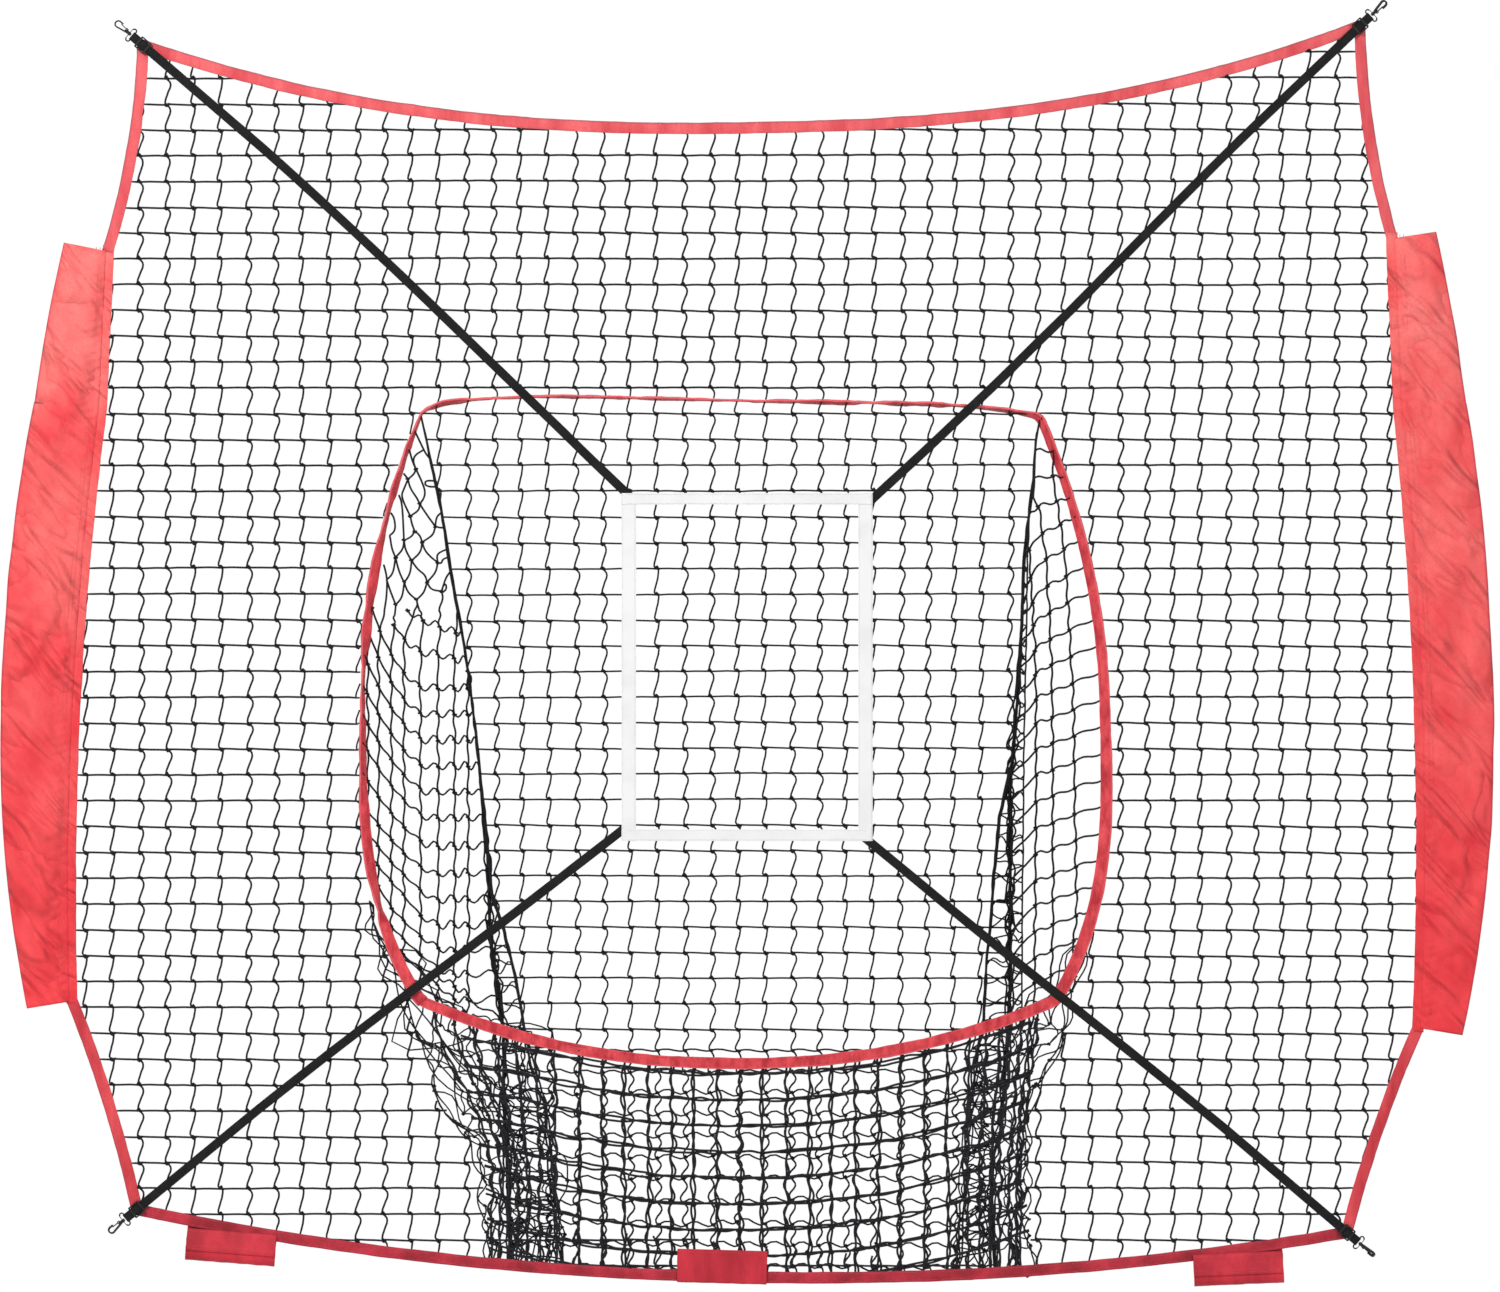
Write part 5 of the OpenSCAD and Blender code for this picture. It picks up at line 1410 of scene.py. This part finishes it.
def sleeve(name, line, seed):
    pile = Pile()
    line = even(line, 4.0)
    count = len(line)
    s = np.arange(count) * 4.0
    along = s / s[-1]
    way, out = sideways(line)
    far = lerp(78.0, 129.0, bow(along, 2.5)) + 1.2 * noise(s / 60, 0.5, seed)
    half = 34
    v = np.concatenate([np.linspace(0, 1, half), np.linspace(1, 0, half)])
    front = np.concatenate([np.full(half, -1.0), np.full(half, 1.0)])
    v = lerp(0.5 - 0.5 * np.cos(math.pi * v), v, 0.4)
    reach = SLEEVE_NEAR + (far[:, None] - SLEEVE_NEAR) * v
    crown = np.sin(math.pi * np.clip(v, 0, 1)) ** 0.7
    y = 2.4 + (SLEEVE_HALF - 2.4) * crown * (0.80 + 0.12 * noise(s[:, None] / 140, 0.5, seed))
    # Broad soft folds, slanting creases, and puckers along the stitching. Higher up, it's smoother
    other = front * 7.0 + 20
    upper = smooth((line[:, 1:] - 1050) / 500)
    along_crease = s[:, None] / 75 + reach / 48 + other
    folds = 4.2 * noise(s[:, None] / 85 + reach / 70, reach / 42 + other, seed + 1)
    folds += lerp(4.6, 2.2, upper) * ridged(
        along_crease, s[:, None] / 210 - reach / 95, seed + 2
    ) * (0.45 + 0.55 * noise(s[:, None] / 110, reach / 60 + other, seed + 5))
    folds += 1.6 * ridged(s[:, None] / 34 - reach / 60, reach / 28 + other, seed + 6)
    pucker = np.exp(-np.maximum(reach - 18, 0) / 15.0) * np.sin(
        2 * math.pi * (s[:, None] / 15 + reach / 40 + 0.9 * noise(s[:, None] / 33, 0.5, seed + 3))
    )
    hem_pucker = np.exp(-(far[:, None] - reach) / 8.0) * noise(s[:, None] / 14, 3.5, seed + 4)
    y = y + folds * np.minimum(1, 1.5 * crown) * smooth((reach - 8) / 14)
    y = y + (0.95 * pucker + 0.4 * hem_pucker) * np.minimum(1, 0.3 + crown)
    groove = sum(np.exp(-((reach - seam) / 1.4) ** 2) for seam in SLEEVE_SEAMS)
    ends = (s[:, None] - 15, s[-1] - 15 - s[:, None])
    end = sum(np.exp(-(away / 1.6) ** 2) for away in ends)
    y = front * (np.maximum(y, 2.3) - 0.7 * np.minimum(1, groove + end) * (reach > 11))
    # The ends are cut aslant
    first, last = (lerp(a, b, v) for a, b in SLEEVE_ENDS[name])
    stretch = -first * np.clip(1 - s[:, None] / 90, 0, 1) + last * np.clip(
        1 - (s[-1] - s[:, None]) / 90, 0, 1
    )

    def shell(inset):
        d = np.clip(reach, SLEEVE_NEAR + 2 * inset, far[:, None] - inset)
        ring = line[:, None] + out[:, None] * d[..., None] + way[:, None] * stretch[..., None]
        return depth(ring, y - front * inset)

    outer, inner_skin = shell(0.0), shell(SLEEVE_WALL)
    points = np.stack([outer, inner_skin])
    size = 2 * half
    index = np.arange(count * size).reshape(count, size)
    turn = np.roll(index, -1, axis=1)
    skin_out = np.stack([index[:-1], turn[:-1], turn[1:], index[1:]], -1).reshape(-1, 4)
    skin_in = skin_out[:, ::-1] + count * size
    low = np.stack([index[0], index[0] + count * size, turn[0] + count * size, turn[0]], -1)
    high = np.stack([index[-1], turn[-1], turn[-1] + count * size, index[-1] + count * size], -1)
    quads = np.concatenate([skin_out, skin_in, low, high])
    flat_uv = np.stack([np.broadcast_to(s[:, None] / 10, reach.shape), 0 * reach + v], -1)
    flat_uv = np.concatenate([flat_uv.reshape(-1, 2)] * 2)
    pile.add(points, quads, flat_uv[quads])

    def surface(k):
        return lambda path: np.interp(
            np.linspace(0, 1, len(path)), np.linspace(0, 1, count), y[:, k]
        )

    for distance in SLEEVE_SEAMS:
        for face in (-1, 1):
            columns = np.nonzero(front == face)[0]
            k = columns[int(np.argmin(np.abs(reach[count // 2, columns] - distance)))]
            stitches(pile, line, distance, face * 0.01, curve=surface(k))
    piece = pile.build(name + ".cloth", [SLEEVE_CLOTH, THREAD], nodes=[name])
    girth = 2 * float(np.mean(np.linalg.norm(np.diff(outer[:, :half], axis=1), axis=2).sum(1)))
    return piece


sleeve("left_sleeve", HEM["left_sleeve_seam"], 120)
sleeve("right_sleeve", HEM["right_sleeve_seam"], 130)


# ---- Straps ----

STRAP_WIDTH = 15.8
STRAP_THICK = 1.5
ZONE_CENTRE = np.array([-5.0, 1054.0])
ZONE_HALF = np.array([204.5, 290.5])
BAR_U = 23.0
BIGHT_R = 2.0
TAIL_N = 0.75
TAIL_POINTS = 20
# How a strap leaves the straight line from its corner to the strike zone, upwards, as
# (at its inner end, bow, wave). It is straight as far as its slider goes.
STRAP_BEND = {
    (-1, 1): (4.4, 11.4, 2.4), (1, 1): (-8.4, -1.9, 4.2), (-1, -1): (14, 6.1, 2.4),
    (1, -1): (-4, 3.2, 2.8),
}
STRAP_STRAIGHT = 270.0


def strap_rise(side, up, along, run):
    end, bulge, wave = STRAP_BEND[side, up]
    turn = math.pi * along / run
    return end * along / run + bulge * np.sin(turn) + wave * np.sin(2 * turn)


def corner_frame(side, up):
    """A corner's origin, its outward, sideways and frontward directions, and its strap's slope."""
    corner = top_corner(side) if up > 0 else bottom_corner(side)
    run = corner - (ZONE_CENTRE + ZONE_HALF * (side, up))
    length = float(np.linalg.norm(run))
    slope = strap_rise(side, up, STRAP_STRAIGHT, length) / STRAP_STRAIGHT
    angle = math.atan2(run[1], run[0]) - side * math.atan(slope)
    u = np.array([math.cos(angle), 0, math.sin(angle)])
    v = np.array([-u[2], 0, u[0]])
    return np.array([corner[0], -1.9, corner[1]]), u, v, np.array([0, -1.0, 0]), length, slope


def strap(side, up, name, seed):
    origin, u, v, n, run, slope = corner_frame(side, up)
    turn = np.linspace(-math.pi / 2, math.pi / 2, 13)
    main = np.linspace(0, run + BAR_U, int(run / 6))
    along = main - BAR_U
    free = smooth((along - STRAP_STRAIGHT) / 110)
    bent = strap_rise(side, up, along, run) - slope * along
    swerve = side * np.where(along > STRAP_STRAIGHT, bent, 0)
    swerve = swerve + 0.5 * free * noise(main / 90, 0.5, seed)
    tail_u = np.linspace(-34, BAR_U, TAIL_POINTS)
    path_u = np.concatenate([tail_u, BAR_U + BIGHT_R * np.cos(turn[1:-1]), BAR_U - main])
    path_n = np.concatenate([
        np.full(TAIL_POINTS, TAIL_N), TAIL_N + BIGHT_R + BIGHT_R * np.sin(turn[1:-1]),
        TAIL_N + 2 * BIGHT_R + 0.15 * free * noise(main / 60, 1.5, seed),
    ])
    path_v = np.concatenate([np.zeros(TAIL_POINTS + len(turn) - 2), swerve])
    path = origin + path_u[:, None] * u + path_v[:, None] * v + path_n[:, None] * n
    pile = Pile()
    s = np.arange(len(path))
    pile.ribbon(
        path, np.broadcast_to(v, path.shape), STRAP_WIDTH + 0.25 * noise(s / 3, 2.5, seed),
        STRAP_THICK,
        0.03 * noise(s / 30, 3.5, seed) * np.append(np.zeros(len(s) - len(main)), free),
    )

    def box_stitch(u0, u1, half, n_at, cross):
        corners = [(u0, -half), (u1, -half), (u1, half), (u0, half), (u0, -half)]
        if cross:
            corners += [(u1, half), (u1, -half), (u0, half)]
        for a, b in zip(corners, corners[1:]):
            a, b = np.array(a, float), np.array(b, float)
            steps = max(2, int(np.linalg.norm(b - a) / 3.2))
            for k in range(steps):
                ends = [lerp(a, b, (k + f) / steps) for f in (0.12, 0.5, 0.88)]
                line = [
                    origin + p[0] * u + p[1] * v + (n_at + lift) * n
                    for p, lift in zip(ends, (-0.1, 0.2, -0.1))
                ]
                threads.append(line)

    threads = []
    box_stitch(-31, -15, STRAP_WIDTH / 2 - 2.2, 5.5, True)
    pile.strands(np.array(threads), 0.28, (0.3, 1, 0.2), 4, 1)
    pile.build(name + ".webbing", [WEBBING, DARK_THREAD], nodes=[name])


for number, (side, up, name) in enumerate(
    ((-1, 1, "strap_top_left"), (1, 1, "strap_top_right"),
     (-1, -1, "strap_bottom_left"), (1, -1, "strap_bottom_right"))
):
    strap(side, up, name, 140 + number)


# ---- Strike zone ----


def strip(name, a, b, width, y, seed):
    """A strip from a to b in the front view, with a hardly straight edge."""
    line = even(np.array([a, b], float), 6.0)
    s = np.arange(len(line)) * 6.0
    way = unit(line[-1] - line[0])
    out = np.array([-way[1], way[0]])
    drift = 0.9 * noise(s / 120, 0.5, seed) * np.sin(np.linspace(0, math.pi, len(line))) ** 0.5
    path = depth(line + drift[:, None] * out, y + 0.1 * noise(s / 50, 1.5, seed))
    pile = Pile()
    pile.ribbon(
        path, np.broadcast_to(np.array([out[0], 0, out[1]]), path.shape),
        width + 0.35 * noise(s / 22, 2.5, seed), 0.8, 0.0,
    )
    for offset in (-width / 2 + 2.2, width / 2 - 2.2):
        stitches(pile, line[2:-2], offset, y - 0.42, pitch=5.0, length=3.4, radius=0.22)
    pile.build(name + ".strip", [STRIP, PALE_THREAD], nodes=[name])


STRIP_WIDE = 25
STRIP_LEVEL = 20
outer = ZONE_HALF + (STRIP_WIDE / 2, STRIP_LEVEL / 2)
for side, name in ((-1, "zone_strip_left"), (1, "zone_strip_right")):
    x = ZONE_CENTRE[0] + side * ZONE_HALF[0]
    strip(
        name, (x, ZONE_CENTRE[1] - outer[1]), (x, ZONE_CENTRE[1] + outer[1]), STRIP_WIDE, -7.8,
        150 + side,
    )
for up, name in ((1, "zone_strip_top"), (-1, "zone_strip_bottom")):
    z = ZONE_CENTRE[1] + up * ZONE_HALF[1]
    strip(
        name, (ZONE_CENTRE[0] - outer[0], z), (ZONE_CENTRE[0] + outer[0], z), STRIP_LEVEL, -8.6,
        154 + up,
    )


# ---- Base tabs ----

TAB_LENGTH = 155.0
TAB_THICK = 1.2
TABS = {"left": (-895.0, -4.5), "right": (843.0, 2.5), "middle": (-49.0, -1.6)}


def tab_origin(x):
    """The hem's lower edge at x."""
    line = HEM["bottom_hem"]
    edge = line + sideways(line)[1] * HEM_WIDTH / 2
    return np.array([x, 0.0, float(z_on(edge, x))])


def folded_cloth(name, key, profile, body, node_name, seed):
    """A sheet of cloth along the hem, bent to a profile of [y, z] points below its edge."""
    x0, tilt = TABS[key]
    origin = tab_origin(x0)
    lean = math.radians(tilt)
    x_axis = np.array([math.cos(lean), 0, math.sin(lean)])
    z_axis = np.array([-math.sin(lean), 0, math.cos(lean)])
    profile = even(np.array(profile, float), 1.6)
    face = sideways(profile)[1]
    stations = np.linspace(-TAB_LENGTH / 2, TAB_LENGTH / 2, 63)
    m = len(profile)
    v = np.linspace(0, 1, m)
    pile = Pile()
    relief = 0.45 * noise(stations[:, None] / 16, v * 5, seed) + 0.25 * noise(
        stations[:, None] / 6, v * 9, seed + 1
    )
    relief = relief * np.sin(math.pi * np.clip(v, 0.06, 0.94)) ** 0.5
    edge = 0.8 * noise(v * 6, 0.5, seed + 2)
    rings = []
    for sign in (1, -1):
        offset = sign * TAB_THICK / 2 + relief
        yz = profile[None] + face[None] * offset[..., None]
        x = stations[:, None] + edge * (np.abs(stations[:, None]) > TAB_LENGTH / 2 - 1)
        points = (
            origin + x[..., None] * x_axis + yz[..., 1:] * z_axis
            + yz[..., :1] * np.array([0, 1.0, 0])
        )
        rings.append(points if sign > 0 else points[:, ::-1])
    points = np.concatenate(rings, 1)
    across_uv = np.concatenate([v, v[::-1], v[:1]]) * m * 0.16
    uvs = np.empty((len(stations), 2 * m + 1, 2))
    uvs[..., 0] = (stations[:, None] + TAB_LENGTH / 2) / 10
    uvs[..., 1] = across_uv
    pile.skin(points, uvs)
    threads = []
    for k in (3, m - 4):
        for sign in (1, -1):
            base = profile[k] + face[k] * sign * (TAB_THICK / 2)
            for x in np.arange(-TAB_LENGTH / 2 + 4, TAB_LENGTH / 2 - 4, 4.4):
                line = []
                for dx, lift in ((-1.5, -0.1), (0, 0.22), (1.5, -0.1)):
                    ripple = float(np.interp(x + dx, stations, relief[:, k]))
                    yz = base + face[k] * (sign * lift + ripple)
                    line.append(
                        origin + (x + dx) * x_axis + yz[1] * z_axis + yz[0] * np.array([0, 1.0, 0])
                    )
                threads.append(line)
    pile.strands(np.array(threads), 0.28, (0.05, 0.6, 1), 4, 1)
    piece = pile.build(name, [TAB_CLOTH, THREAD], body, [node_name])
    return piece


curl = [(-7.1 + 9.6 * math.cos(a), -40 - 9.6 * math.sin(a)) for a in np.linspace(0, math.pi, 25)]
loop_profile = [(2.5, 9.0), (2.5, -20.0)] + curl + [(-16.7, -26.0)]
flap_profile = [(-2.8, 4.3), (-4.4, 0.5), (-10.5, -12.0), (-17.0, -23.5), (-18.2, -26.5),
                (-18.2, -33.5)]
bend = [(-4.1 + 1.2 * math.sin(a), 0.2 - 1.2 * math.cos(a)) for a in np.linspace(
    math.pi / 2, -math.pi / 2, 9)]
middle_profile = [(-2.9, 56.0), (-2.9, 20.0)] + bend + [(-5.3, 20.0), (-5.3, 56.4)]
for key in ("left", "right"):
    folded_cloth(
        f"tab_{key}.cloth", key, loop_profile, "root", f"tab_{key}", 160 + len(key),
    )
    folded_cloth(
        f"tab_{key}_flap.cloth", key, flap_profile, f"tab_{key}_flap", f"tab_{key}_flap",
        170 + len(key),
    )
folded_cloth(
    "tab_middle.cloth", "middle", middle_profile, "tab_middle", "tab_middle", 180,
)


# ---- Hooks and sliders ----

for name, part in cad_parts.items():
    if name.startswith(("slider", "hook", "gate")):
        part.data.materials.clear()
        part.data.materials.append(STEEL if name.startswith("gate_pin") else PLASTIC)


# ---- Light, floor and world ----


def rays(tree, first, *others):
    """1 for light rays of the kinds named, and 0 for the others."""
    paths = node(tree, "ShaderNodeLightPath").outputs
    found = paths[f"Is {first} Ray"]
    for kind in others:
        found = maths(tree, "MAXIMUM", found, paths[f"Is {kind} Ray"])
    return found


world = bpy.data.worlds.new("studio")
bpy.context.scene.world = world
world.use_nodes = True
tree = world.node_tree
background = tree.nodes["Background"]
background.inputs["Color"].default_value = (1, 1, 1, 1)
strength = node(tree, "ShaderNodeMapRange", {
    0: rays(tree, "Camera", "Glossy", "Transmission"), 1: 0.0, 2: 1.0, 3: 0.29, 4: 1.0
})
tree.links.new(strength.outputs[0], background.inputs["Strength"])


def lamp(name, place, aim, size, power):
    data = bpy.data.lights.new(name, "AREA")
    data.shape, data.size, data.energy = "DISK", size, power
    made = bpy.data.objects.new(name, data)
    made.location = place
    way = np.array(aim, float) - np.array(place, float)
    made.rotation_euler = (
        math.acos(-way[2] / np.linalg.norm(way)), 0.0, math.atan2(way[1], way[0]) - math.pi / 2
    )
    bpy.context.scene.collection.objects.link(made)


lamp("key", (-3.2, -4.6, 4.4), (0, 0, 1.1), 1.4, 258)
lamp("fill", (3.8, -4.4, 2.2), (0, 0, 1.1), 3.0, 84)
lamp("back", (0.5, 4.8, 3.6), (0, 0, 1.1), 3.0, 90)

floor_mesh = bpy.data.meshes.new("floor")
FLOOR_Z = -0.066
floor_mesh.from_pydata(
    [(-3, -3, FLOOR_Z), (3, -3, FLOOR_Z), (3, 1, FLOOR_Z), (-3, 1, FLOOR_Z)], [], [(0, 1, 2, 3)]
)
floor = bpy.data.objects.new("floor", floor_mesh)
bpy.context.scene.collection.objects.link(floor)
floor_paint, tree, principled = shader("floor_paint", (0.86, 0.86, 0.86), 0.9)
glow = maths(tree, "MULTIPLY", rays(tree, "Camera", "Glossy"), 0.28)
principled.inputs["Emission Color"].default_value = (1, 1, 1, 1)
tree.links.new(glow, principled.inputs["Emission Strength"])
floor_mesh.materials.append(floor_paint)

bpy.context.scene.view_settings.view_transform = "Standard"
